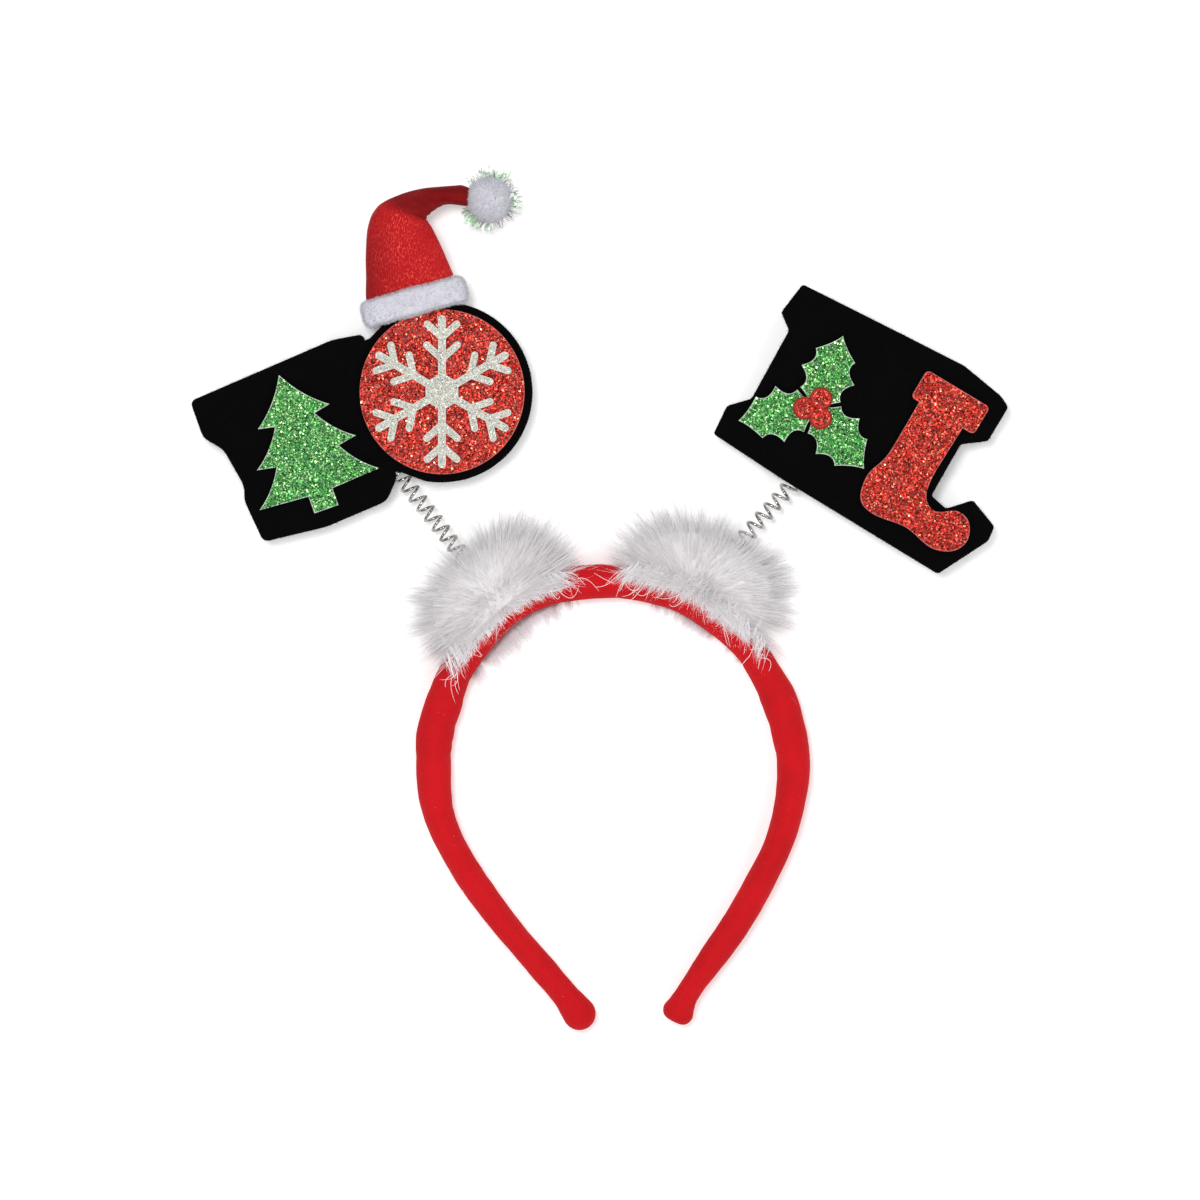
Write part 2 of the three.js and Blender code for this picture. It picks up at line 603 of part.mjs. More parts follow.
// One leaf along +X: spines along both edges with scallops between them
function leafShape() {
  const widthAt = (share) => Math.sin(Math.PI * share ** 0.85) ** 0.75 * (LEAF_WIDTH / 2);
  const shape = new THREE.Shape().moveTo(-LEAF_LENGTH * 0.08, 0);
  const spines = Array.from({ length: LEAF_SPINES }, (_, i) => (i + 0.7) / (LEAF_SPINES + 0.7));
  const edge = (side, shares) => {
    let before = side < 0 ? 0 : 1;
    for (const share of [...shares, side < 0 ? 1 : 0]) {
      const middle = (before + share) / 2;
      const tip = share === 0 ? -LEAF_LENGTH * 0.08 : share * LEAF_LENGTH;
      shape.quadraticCurveTo(
        middle * LEAF_LENGTH,
        side * LEAF_SCALLOP * widthAt(middle),
        tip,
        side * widthAt(share) * (share % 1 === 0 ? 0 : 1),
      );
      before = share;
    }
  };
  edge(-1, spines);
  edge(1, [...spines].reverse());
  return shape;
}

function hollyGeometry() {
  const leaf = plate(leafShape(), GLITTER_THICKNESS);
  const leaves = LEAF_BEARINGS.map((bearing) =>
    toSolid(leaf, new THREE.Matrix4().makeRotationZ(deg(bearing))),
  );
  return toGeometry(joined(leaves));
}

function berriesGeometry() {
  const apart = BERRY_RADIUS * 0.95;
  const berries = Array.from({ length: BERRY_COUNT }, (_, i) => {
    const place = heading(90 + (i * 360) / BERRY_COUNT).multiplyScalar(apart);
    const berry = new THREE.CylinderGeometry(BERRY_RADIUS * 0.8, BERRY_RADIUS, BERRY_THICKNESS, 16)
      .rotateX(Math.PI / 2)
      .translate(place.x, place.y, BERRY_THICKNESS / 2);
    return toSolid(berry);
  });
  return toGeometry(joined(berries));
}

// Leg and foot follow a smooth line through the outline's points, and the cuff is fused on
function stockingGeometry() {
  const place = (along, up) => new THREE.Vector2(along * STOCKING_LENGTH, up * STOCKING_HEIGHT);
  const line = new THREE.SplineCurve(STOCKING_OUTLINE.map(({ along, up }) => place(along, up)));
  const leg = new THREE.Shape(line.getPoints(3 * (STOCKING_OUTLINE.length - 1)));
  const cuffCorners = [
    place(CUFF.left, CUFF.bottom),
    place(CUFF.right, CUFF.bottom),
    place(CUFF.right, CUFF.top),
    place(CUFF.left, CUFF.top),
  ];
  const cuff = roundedOutline(new THREE.Shape(), cuffCorners, CUFF.round * STOCKING_LENGTH);
  return toGeometry(
    joined([leg, cuff].map((shape) => toSolid(plate(shape, GLITTER_THICKNESS)))),
  );
}

// Rounded section in the x-z plane of the hat's frame: an ellipse squared off a little
function ovalRing(centre, lean, halfWide, halfDeep, squareness) {
  const across = heading(lean);
  return Array.from({ length: HAT_SIDES }, (_, i) => {
    const angle = (i / HAT_SIDES) * 2 * Math.PI;
    const square = (value) => Math.sign(value) * Math.abs(value) ** squareness;
    return centre
      .clone()
      .addScaledVector(across, halfWide * square(Math.cos(angle)))
      .addScaledVector(UP, -halfDeep * square(Math.sin(angle)));
  });
}

// The cone's wall: outside rings from the base to the tip, then the inside rings back again
function coneGeometry() {
  const ringsFor = (wall) =>
    CONE_SECTIONS.map(({ side, up, wide, deep, turn }) =>
      ovalRing(
        new THREE.Vector3(side * CONE_WIDTH, up * CONE_HEIGHT, 0),
        turn,
        (wide * CONE_WIDTH) / 2 - wall,
        (deep * CONE_DEPTH) / 2 - wall,
        0.8,
      ),
    );
  const outside = ringsFor(0);
  const inside = ringsFor(CONE_WALL);
  inside.pop();
  const middle = (ring) =>
    ring.reduce((sum, p) => sum.add(p), new THREE.Vector3()).divideScalar(ring.length);
  const sock = skin(outside, middle(outside[0]), middle(outside[outside.length - 1]));
  const below = middle(inside[0]).clone();
  below.y -= CONE_HEIGHT * 0.1;
  const mouth = inside[0].map((p) => p.clone().setY(below.y));
  const hollow = skin([mouth, ...inside], below, middle(inside[inside.length - 1]));
  return toGeometry(toSolid(sock).subtract(toSolid(hollow)));
}

// The brim: a soft band with rounded edges around the cone's base
function brimGeometry() {
  const rise = BRIM_HEIGHT / 2;
  const rows = [
    { up: -1, out: 0.45 },
    { up: -0.72, out: 0.9 },
    { up: -0.25, out: 1 },
    { up: 0.25, out: 1 },
    { up: 0.72, out: 0.9 },
    { up: 1, out: 0.45 },
  ];
  const innerWide = CONE_WIDTH * 1.01 + 2 * CLEARANCE;
  const innerDeep = CONE_DEPTH * 1.12 + 2 * CLEARANCE;
  const wallWide = (BRIM_LENGTH - innerWide) / 2;
  const rings = rows.map(({ up, out }) =>
    ovalRing(
      new THREE.Vector3(0, up * rise, 0),
      0,
      innerWide / 2 + wallWide * out,
      innerDeep / 2 + BRIM_WALL * out,
      0.8,
    ),
  );
  const low = new THREE.Vector3(0, -rise, 0);
  const high = new THREE.Vector3(0, rise, 0);
  const hole = [-2, 2].map((up) =>
    ovalRing(new THREE.Vector3(0, up * rise, 0), 0, innerWide / 2, innerDeep / 2, 0.8),
  );
  const past = [low.clone().setY(-2 * rise), high.clone().setY(2 * rise)];
  return toGeometry(toSolid(skin(rings, low, high)).subtract(toSolid(skin(hole, ...past))));
}

// The pompom: a ball with short tinsel locks, which touches the flat end of the hat's tip
function pompomCentre() {
  const tip = CONE_SECTIONS[CONE_SECTIONS.length - 1];
  const end = new THREE.Vector3(tip.side * CONE_WIDTH, tip.up * CONE_HEIGHT, 0);
  const slant = POMPOM_BEARING - (tip.turn + 90);
  const seat = (POMPOM_RADIUS + CLEARANCE) / Math.cos(deg(slant));
  return end.addScaledVector(heading(POMPOM_BEARING), seat);
}

function pompomGeometry() {
  const ball = toSolid(new THREE.IcosahedronGeometry(POMPOM_RADIUS, 2));
  const toHat = heading(POMPOM_BEARING + 180);
  const locks = spread(TINSEL_LOCKS)
    .filter((way) => way.dot(toHat) < 0.6)
    .map((way, i) => {
      const reach = POMPOM_RADIUS + TINSEL_REACH * (1 - 0.2 * (i % 3));
      const root = way.clone().multiplyScalar(POMPOM_RADIUS * 0.8);
      return lock(root, way.clone().multiplyScalar(reach), TINSEL_WIDTH);
    });
  return toGeometry(joined([ball, ...locks]));
}

// Assembly: each piece is a named mesh in the group that carries it
const assembly = new THREE.Group();

function addPiece(parent, name, geometry, material, place = new THREE.Vector3()) {
  const mesh = new THREE.Mesh(geometry, material);
  mesh.name = name;
  mesh.position.copy(place);
  parent.add(mesh);
  return mesh;
}

function addSpring(name, { way, base, length }) {
  const spring = addPiece(assembly, name, springGeometry(length), STEEL, base);
  spring.quaternion.setFromUnitVectors(UP, way);
}

// A sign's group stands so that the felt's edge meets the spring
function addSign(spring, tilt, edge) {
  const sign = new THREE.Group();
  sign.rotation.z = deg(tilt);
  const hold = new THREE.Vector3(edge.x, edge.y, 0).applyAxisAngle(UP, deg(tilt));
  sign.position.set(spring.edge.x - hold.x, spring.edge.y - hold.y, 0);
  assembly.add(sign);
  return sign;
}

const at = (place, z) => new THREE.Vector3(place.x, place.y, z);

function addLeftSign() {
  const share = (place) => atShares(place, PANEL_LENGTH, PANEL_HALF_HEIGHT);
  const sign = addSign(leftSpring, LEFT_SIGN_TILT, share(LEFT_SPRING_EDGE));
  const origin = new THREE.Vector2();
  const felt = plate(leftFeltShape(), FELT_THICKNESS, 9);
  addPiece(sign, "left_felt_board", felt, BLACK_FELT, at(origin, FELT_BACK_Z));
  const tree = plate(treeShape(), GLITTER_THICKNESS);
  addPiece(sign, "fir_tree", tree, GREEN_GLITTER, at(share(TREE_CENTRE), GLITTER_BACK_Z));
  const bauble = new THREE.CylinderGeometry(BAUBLE_RADIUS, BAUBLE_RADIUS, GLITTER_THICKNESS, 64)
    .rotateX(Math.PI / 2)
    .translate(0, 0, GLITTER_THICKNESS / 2);
  addPiece(sign, "bauble_disc", bauble, RED_GLITTER, at(origin, GLITTER_BACK_Z));
  const flake = snowflakeGeometry(-LEFT_SIGN_TILT);
  addPiece(sign, "snowflake", flake, PEARL_GLITTER, at(origin, TOPPER_BACK_Z));

  const hat = new THREE.Group();
  hat.rotation.z = deg(HAT_TILT);
  hat.position.set(HAT_SHIFT, HAT_SEAT, HAT_MIDDLE_Z);
  sign.add(hat);
  addPiece(hat, "hat_cone", coneGeometry(), RED_SATIN);
  addPiece(hat, "hat_brim", brimGeometry(), WHITE_PLUSH);
  addPiece(hat, "hat_pompom", pompomGeometry(), WHITE_PLUSH, pompomCentre());
}

function addRightSign() {
  const share = (place) => atShares(place, SIGN_HALF_LENGTH, SIGN_HALF_HEIGHT);
  const sign = addSign(rightSpring, RIGHT_SIGN_TILT, share(RIGHT_SPRING_EDGE));
  const felt = plate(rightFeltShape(), FELT_THICKNESS);
  addPiece(sign, "right_felt_board", felt, BLACK_FELT, new THREE.Vector3(0, 0, FELT_BACK_Z));
  const holly = share(HOLLY_CENTRE);
  addPiece(sign, "holly_leaves", hollyGeometry(), GREEN_GLITTER, at(holly, GLITTER_BACK_Z));
  addPiece(sign, "holly_berries", berriesGeometry(), RED_GLITTER, at(holly, TOPPER_BACK_Z));
  const heel = share(STOCKING_HEEL);
  addPiece(sign, "stocking", stockingGeometry(), RED_GLITTER, at(heel, GLITTER_BACK_Z));
}

addPiece(assembly, "headband", bandGeometry(), RED_KNIT);
const head = headSolid();
const bandRoom = toSolid(bandGeometry(CLEARANCE));
addPiece(assembly, "left_fur", furGeometry(LEFT_TUFT, leftSpring, head, bandRoom), WHITE_FUR);
addPiece(assembly, "right_fur", furGeometry(RIGHT_TUFT, rightSpring, head, bandRoom), WHITE_FUR);
addSpring("left_spring", leftSpring);
addSpring("right_spring", rightSpring);
addLeftSign();
addRightSign();

// The origin is the middle of the whole object's footprint, at the surface that it lies on
assembly.updateMatrixWorld(true);
const bounds = new THREE.Box3().setFromObject(assembly, true);
const middle = bounds.getCenter(new THREE.Vector3());
assembly.position.set(-middle.x, -middle.y, -bounds.min.z);

export default assembly;
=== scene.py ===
"""Padded novelty headband that lies on its back, with two glitter signs on coil springs.

The frame gives the solids, the bodies and the joints. This file gives the looks: knit cover,
down tufts, wound wire, fibrous felt, flake glitter, a small stuffed hat and its tinsel pompom.
Lengths are metres. +X and +Y lie in the plane of the band, and +Z comes out of the signs.
"""

import json
import math

import bmesh
import bpy
import numpy as np
from bpy.props import FloatProperty, FloatVectorProperty, IntProperty, PointerProperty
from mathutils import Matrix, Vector
from mathutils.geometry import tessellate_polygon

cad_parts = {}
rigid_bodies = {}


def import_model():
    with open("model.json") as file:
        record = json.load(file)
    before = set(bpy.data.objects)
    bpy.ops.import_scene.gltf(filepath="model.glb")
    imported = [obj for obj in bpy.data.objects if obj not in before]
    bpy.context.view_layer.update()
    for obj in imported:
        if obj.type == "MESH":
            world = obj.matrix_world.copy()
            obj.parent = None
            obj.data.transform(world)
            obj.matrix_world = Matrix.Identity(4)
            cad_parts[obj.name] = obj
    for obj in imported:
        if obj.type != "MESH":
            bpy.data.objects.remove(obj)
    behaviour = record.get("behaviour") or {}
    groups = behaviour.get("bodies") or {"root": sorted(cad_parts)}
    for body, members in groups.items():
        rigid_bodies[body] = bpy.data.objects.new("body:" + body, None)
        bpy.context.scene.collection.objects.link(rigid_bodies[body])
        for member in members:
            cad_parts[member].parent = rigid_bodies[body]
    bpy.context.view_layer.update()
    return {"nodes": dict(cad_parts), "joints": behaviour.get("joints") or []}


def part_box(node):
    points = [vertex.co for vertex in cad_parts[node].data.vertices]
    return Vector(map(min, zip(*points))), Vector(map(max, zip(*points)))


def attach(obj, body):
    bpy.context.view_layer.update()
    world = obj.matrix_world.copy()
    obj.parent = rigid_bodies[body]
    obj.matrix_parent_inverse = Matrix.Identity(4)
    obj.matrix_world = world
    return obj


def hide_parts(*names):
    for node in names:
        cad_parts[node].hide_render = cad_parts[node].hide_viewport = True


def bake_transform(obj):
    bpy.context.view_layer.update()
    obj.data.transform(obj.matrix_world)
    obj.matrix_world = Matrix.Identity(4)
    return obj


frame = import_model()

bl_info = {
    "name": "Spring Sign Headband",
    "version": (1, 0, 0),
    "blender": (4, 5, 0),
    "location": "View3D > Sidebar > Headband",
    "description": "Adds a padded headband with fur tufts and glitter signs on springs",
    "category": "Add Mesh",
}

MM = 0.001
UP = np.array([0.0, 0.0, 1.0])
NODES = frame["nodes"]
JOINTS = {joint["name"]: joint for joint in frame["joints"]}

# Stations down the band's middle line, from the tip at -X over the crown to the tip at +X.
# Columns: across as a share of half the width, down as a share of the height,
# thick and deep as shares of the padding.
BAND_STATIONS = np.array([
    (-0.170, 0.962, 0.98, 0.86),
    (-0.236, 0.925, 0.76, 0.72),
    (-0.374, 0.857, 0.78, 0.76),
    (-0.530, 0.780, 0.80, 0.82),
    (-0.655, 0.711, 0.84, 0.86),
    (-0.759, 0.646, 0.86, 0.90),
    (-0.856, 0.568, 0.88, 0.94),
    (-0.900, 0.503, 0.93, 1.00),
    (-0.910, 0.413, 1.04, 1.00),
    (-0.902, 0.362, 1.12, 1.00),
    (-0.853, 0.291, 1.06, 1.00),
    (-0.786, 0.221, 1.00, 1.00),
    (-0.545, 0.0993, 1.00, 1.00),
    (-0.363, 0.0566, 0.98, 1.00),
    (-0.064, 0.0365, 1.00, 1.00),
    (0.200, 0.048, 0.98, 1.00),
    (0.407, 0.0801, 0.97, 1.00),
    (0.681, 0.174, 0.93, 1.00),
    (0.777, 0.234, 0.96, 1.00),
    (0.848, 0.293, 1.04, 1.00),
    (0.904, 0.378, 1.01, 1.00),
    (0.919, 0.430, 0.97, 1.00),
    (0.901, 0.509, 0.90, 0.98),
    (0.848, 0.592, 0.86, 0.92),
    (0.7335, 0.692, 0.88, 0.88),
    (0.620, 0.774, 0.85, 0.82),
    (0.488, 0.853, 0.77, 0.76),
    (0.377, 0.921, 0.67, 0.70),
    (0.334, 0.957, 0.90, 0.82),
])
LEFT_SEAT, RIGHT_SEAT = 12, 16  # the stations that carry the springs

# Sections of the small hat from base to tip.
# Columns: side as a share of the width, up as a share of the height,
# wide and deep as shares of the cone's width and depth, turn in degrees.
HAT_SECTIONS = np.array([
    (-0.007, -0.05, 1.000, 1.00, 0),
    (-0.007, 0.15, 0.985, 1.20, 0),
    (0.007, 0.35, 0.890, 1.38, 0),
    (0.021, 0.55, 0.790, 1.38, -3),
    (0.063, 0.75, 0.670, 1.28, -14),
    (0.141, 0.85, 0.545, 1.14, -30),
    (0.286, 0.895, 0.410, 1.00, -43),
    (0.451, 0.915, 0.290, 0.86, -60),
    (0.610, 0.905, 0.215, 0.76, -78),
    (0.825, 0.85, 0.240, 0.74, -90),
])

# Where along its free length each spring's two hinges lie, and where its halves meet
NOD_SHARE, SWAY_SHARE = 0.42, 0.8
MIDDLE_SHARE = (NOD_SHARE + SWAY_SHARE) / 2

WIRE_SHOWN = 1.2  # a bright wire looks thinner than it is, so it is drawn thicker
COIL_END = 0.0011  # how far the coil ends before its tuck does
SIGN_LEAN = math.radians(4)  # from the hat's tilt to the line on which it is seated


def length(name, default, description):
    """A size that a user may change, in metres."""
    return FloatProperty(
        name=name, default=default, description=description, unit="LENGTH", precision=5,
    )


def colour(name, default, description):
    """A colour that a user may change, in linear light."""
    return FloatVectorProperty(
        name=name, default=default, description=description, subtype="COLOR",
        size=3, min=0, max=1,
    )


def count(name, default, description):
    """A number of like things that a user may change."""
    return IntProperty(name=name, default=default, description=description, min=1)


class BandSettings(bpy.types.PropertyGroup):
    """Padded arch and its knit cover"""
    width: length("Width", 0.150, "Outside width of the arch")
    height: length("Height", 0.178, "From the crown to the tips")
    thickness: length("Thickness", 0.013, "Padding in the plane of the arch")
    depth: length("Depth", 0.016, "Padding from front to back")
    crease: length("Crease", 0.0003, "Height of the folds in the cover")
    knit: length("Knit", 0.0006, "Distance between the knit's ribs")
    red: colour("Red", (0.66, 0.009, 0.015), "Colour of the knit cover")


class SpringSettings(bpy.types.PropertyGroup):
    """Coil springs"""
    outer: length("Outer", 0.0068, "Outside diameter of the coil")
    wire: length("Wire", 0.00095, "Diameter of the wire")
    pitch: length("Pitch", 0.00475, "Distance between open turns")
    tuck: length("Tuck", 0.010, "Length that lies behind the felt")
    steel: colour("Steel", (0.50, 0.48, 0.445), "Colour of the wire")


class FurSettings(bpy.types.PropertyGroup):
    """Down tufts"""
    strands: count("Strands", 21000, "Barbs on each tuft")
    wisps: count("Wisps", 2400, "Barbs under the band, and half as many loose over it")
    barb: length("Barb", 0.00021, "Width of a barb at its root")
    front: length("Front", 0.021, "Half of the tuft's depth")
    lift: length("Lift", 0.0035, "From the band's middle line to the tuft's centre")
    white: colour("White", (0.94, 0.915, 0.93), "Colour of the down")


class SignSettings(bpy.types.PropertyGroup):
    """Felt boards and glitter foam"""
    felt_edge: length("Felt edge", 0.0006, "Rounding of the felt's edges")
    foam_edge: length("Foam edge", 0.00035, "Bare foam that shows around the glitter")
    flake: length("Flake", 0.00033, "Half width of a glitter flake")
    flakes: count("Flakes", 7, "Flakes on each square millimetre")
    lint: count("Lint", 9000, "Loose fibres on each felt board")
    black: colour("Black", (0.0011, 0.0011, 0.0013), "Colour of the felt")
    green: colour("Green", (0.07, 0.42, 0.085), "Middle colour of the green flakes")
    red: colour("Red", (0.66, 0.035, 0.025), "Middle colour of the red flakes")
    pearl: colour("Pearl", (0.61, 0.60, 0.53), "Middle colour of the pearl flakes")
    foam: colour("Foam", (0.72, 0.76, 0.70), "Cut edge of the foam")


class HatSettings(bpy.types.PropertyGroup):
    """Small hat on the bauble"""
    tilt: FloatProperty(name="Tilt", default=math.radians(15.5), subtype="ANGLE",
                        description="Lean of the hat in the plane of the sign")
    seat: length("Seat", 0.0357, "From the bauble's centre to the brim's")
    shift: length("Shift", 0.0015, "Sideways, from the bauble's centre line")
    cone_width: length("Cone width", 0.035, "Width of the cone at its base")
    cone_height: length("Cone height", 0.040, "From the brim's middle to the bend")
    cone_depth: length("Cone depth", 0.0084, "Front to back at the base")
    brim_length: length("Brim length", 0.0415, "Length of the plush brim")
    brim_height: length("Brim height", 0.0104, "Height of the plush brim")
    pompom: length("Pompom", 0.0086, "Radius of the pompom without its tinsel")
    tinsel: count("Tinsel", 420, "Strips of tinsel in the pompom")
    red: colour("Red", (0.455, 0.005, 0.0095), "Colour of the hat's cloth")
    plush: colour("Plush", (0.84, 0.835, 0.905), "Colour of the brim and pompom")


class StageSettings(bpy.types.PropertyGroup):
    """Floor, lights and camera"""
    view_width: length("View width", 0.456, "What the picture's width shows")
    camera_height: length("Camera height", 1.8, "From the floor to the camera")
    floor: colour("Floor", (0.92, 0.92, 0.92), "Colour of the surface")


def sizes(group):
    """The settings of one group in the open scene."""
    return getattr(bpy.context.scene, "headband_" + group)


# Shader maths

class Value:
    """A shader socket that Python's operators extend with Math nodes."""

    def __init__(self, finish, socket):
        self.finish = finish
        self.socket = socket

    def _math(self, operation, *terms):
        inputs = dict(enumerate(terms))
        return self.finish.node("ShaderNodeMath", {"operation": operation}, inputs)

    def __add__(self, other):
        return self._math("ADD", self, other)

    def __rsub__(self, other):
        return self._math("SUBTRACT", other, self)

    def __mul__(self, other):
        return self._math("MULTIPLY", self, other)

    def __gt__(self, other):
        return self._math("GREATER_THAN", self, other)

    __radd__ = __add__
    __rmul__ = __mul__

    def sin(self):
        """Sine of the value in radians."""
        return self._math("SINE", self)

    def span(self, low, high):
        """0 at low and below, 1 at high and above, and a straight line between."""
        settings = {"clamp": True}
        inputs = {"Value": self, "From Min": low, "From Max": high}
        return self.finish.node("ShaderNodeMapRange", settings, inputs)


class Finish:
    """A material under construction, with one method for all its nodes."""

    def __init__(self, name):
        self.material = bpy.data.materials.new(name)
        self.material.use_nodes = True
        self.tree = self.material.node_tree
        self.tree.nodes.clear()

    def node(self, kind, settings=None, inputs=None, output=0):
        """Adds a node: its settings first, then the values or links of its sockets."""
        node = self.tree.nodes.new(kind)
        for key, value in (settings or {}).items():
            if key == "stops":
                self._stops(node.color_ramp, value)
            else:
                setattr(node, key, value)
        for key, value in (inputs or {}).items():
            socket = node.inputs[key]
            if isinstance(value, Value):
                self.tree.links.new(value.socket, socket)
            elif socket.type == "RGBA" and len(value) == 3:
                socket.default_value = (*value, 1)
            else:
                socket.default_value = value
        return Value(self, node.outputs[output]) if node.outputs else None

    @staticmethod
    def _stops(ramp, stops):
        while len(ramp.elements) < len(stops):
            ramp.elements.new(1)
        for element, (place, shade) in zip(ramp.elements, stops):
            element.position = place
            element.color = (*shade, 1)

    def place(self):
        """Object coordinates."""
        return self.node("ShaderNodeTexCoord", output=3)

    def surface_place(self):
        """The piece's own UV map, in metres along its surface."""
        return self.node("ShaderNodeUVMap", {"uv_map": "Surface"})

    def ribs(self, axis, gap):
        """Waves from 0 to 1 along one coordinate of the UV map, a gap apart in metres."""
        inputs = {"Vector": self.surface_place()}
        coordinate = self.node("ShaderNodeSeparateXYZ", None, inputs, output=axis)
        return (coordinate * (2 * math.pi / gap)).sin() * 0.5 + 0.5

    def attribute(self, name):
        """A number that the mesh carries at its points."""
        return self.node("ShaderNodeAttribute", {"attribute_name": name}, output=2)

    def noise(self, size, detail=3, roughness=0.55, where=None):
        """Noise from 0 to 1 whose patches measure size in metres."""
        inputs = {
            "Vector": where or self.place(),
            "Scale": 1 / size, "Detail": detail, "Roughness": roughness,
        }
        return self.node("ShaderNodeTexNoise", None, inputs)

    def ramp(self, factor, stops):
        """Colour from a table of places and colours."""
        return self.node("ShaderNodeValToRGB", {"stops": stops}, {0: factor})

    def mix(self, factor, first, second):
        """Blends two colours."""
        settings = {"data_type": "RGBA"}
        return self.node("ShaderNodeMix", settings, {0: factor, 6: first, 7: second}, output=2)

    def bump(self, height, distance, strength):
        """Bump of a height field whose full range stands a distance in metres."""
        inputs = {"Height": height, "Distance": distance, "Strength": strength}
        return self.node("ShaderNodeBump", None, inputs)

    def surface(self, **inputs):
        """Ends the material with a Principled shader."""
        named = {key.replace("_", " "): value for key, value in inputs.items()}
        shader = self.node("ShaderNodeBsdfPrincipled", None, named)
        self.node("ShaderNodeOutputMaterial", None, {"Surface": shader})
        return self.material


def shade(base, factor):
    """A colour made darker or lighter."""
    return tuple(min(1.0, part * factor) for part in base)


# Meshes from arrays

def unit(vectors):
    """Vectors scaled to length 1."""
    return vectors / np.maximum(np.linalg.norm(vectors, axis=-1, keepdims=True), 1e-12)


def circle(number):
    """Angles evenly round a circle."""
    return np.arange(number) / number * 2 * np.pi


def ball(rows, around):
    """Directions to a ball's points, in rows between its poles, each with as many around."""
    spin = circle(around)
    rise = np.linspace(-np.pi / 2, np.pi / 2, rows + 2)[1:-1, None]
    return np.stack([np.cos(rise) * np.cos(spin), np.cos(rise) * np.sin(spin),
                     np.sin(rise) * np.ones(around)], axis=-1)


def arch(across, least=0.05):
    """Height of a half circle at shares of its radius. Its square stays above the least."""
    return np.sqrt(np.clip(1 - across**2, least, 1))


def run_length(line):
    """Distance along a line at each of its points."""
    steps = np.linalg.norm(np.diff(line, axis=0), axis=1)
    return np.concatenate([[0], np.cumsum(steps)])


def keep_over(points, least=0.0001):
    """Keeps points at least this high over the surface that the piece lies on."""
    points[..., 2] = np.maximum(points[..., 2], least)


def add_object(name, data):
    """Object for a mesh, a light or a camera, in the open scene."""
    thing = bpy.data.objects.new(name, data)
    bpy.context.scene.collection.objects.link(thing)
    return thing


def along_strand(per, start, end):
    """One value for each point of a ribbon, from its root to its tip."""
    return np.repeat(np.linspace(start, end, per // 2 + 1), 2)[:per]


def new_piece(name, points, triangles, uv=None, tones=None, smooth=True):
    """Mesh object at the origin, from points and triangles.

    It may have a UV map, and one tone for each point, which the materials read.
    """
    points = np.asarray(points, np.float32).reshape(-1, 3)
    triangles = np.asarray(triangles, np.int32).reshape(-1, 3)
    total = len(triangles)
    mesh = bpy.data.meshes.new(name)
    mesh.vertices.add(len(points))
    mesh.vertices.foreach_set("co", points.ravel())
    mesh.loops.add(3 * total)
    mesh.loops.foreach_set("vertex_index", triangles.ravel())
    mesh.polygons.add(total)
    mesh.polygons.foreach_set("loop_start", np.arange(0, 3 * total, 3, dtype=np.int32))
    mesh.polygons.foreach_set("use_smooth", np.full(total, smooth))
    if uv is not None:
        layer = mesh.uv_layers.new(name="Surface")
        layer.data.foreach_set("uv", np.asarray(uv, np.float32).ravel())
    mesh.update(calc_edges=True)
    mesh.validate()
    if tones is not None:
        tone = mesh.attributes.new("tone", "FLOAT", "POINT")
        tone.data.foreach_set("value", np.asarray(tones, np.float32))
    return add_object(name, mesh)


def tube_faces(rows, sides):
    """Triangles of a grid of rings closed around, with a fan to a point at each end.

    Ring r's point s has index r * sides + s. The two end points follow the rings.
    Returns the triangles, and for each corner its row and its side counted without wrapping.
    """
    r, s = np.meshgrid(np.arange(rows - 1), np.arange(sides), indexing="ij")
    r, s = r.ravel(), s.ravel()
    corner_rows = np.stack([r, r, r + 1, r, r + 1, r + 1], axis=1).reshape(-1, 3)
    corner_sides = np.stack([s, s + 1, s + 1, s, s + 1, s], axis=1).reshape(-1, 3)
    wall = corner_rows * sides + corner_sides % sides
    side = np.arange(sides)
    first = rows * sides
    zeros = np.zeros(sides, int)
    start = np.stack([zeros + first, (side + 1) % sides, side], axis=1)
    end = (rows - 1) * sides
    finish = np.stack([zeros + first + 1, end + side, end + (side + 1) % sides], axis=1)
    start_sides = np.stack([side, side + 1, side], axis=1)
    finish_sides = np.stack([side, side, side + 1], axis=1)
    faces = np.concatenate([wall, start, finish])
    face_rows = np.concatenate([corner_rows, zeros[:, None].repeat(3, 1),
                                (zeros + rows - 1)[:, None].repeat(3, 1)])
    face_sides = np.concatenate([corner_sides, start_sides, finish_sides])
    return faces, face_rows, face_sides


def tube_piece(name, rings, along, around, tones=None):
    """Closed piece from rings (rows, sides, 3). along and around give its UV in metres."""
    rows, sides = rings.shape[:2]
    faces, face_rows, face_sides = tube_faces(rows, sides)
    ends = np.stack([rings[0].mean(0), rings[-1].mean(0)])
    points = np.concatenate([rings.reshape(-1, 3), ends])
    uv = np.stack([along[face_rows], face_sides / sides * around], axis=-1)
    if tones is not None:
        tones = np.concatenate([tones.ravel(), [tones[0].mean(), tones[-1].mean()]])
    return new_piece(name, points, faces, uv=uv, tones=tones)


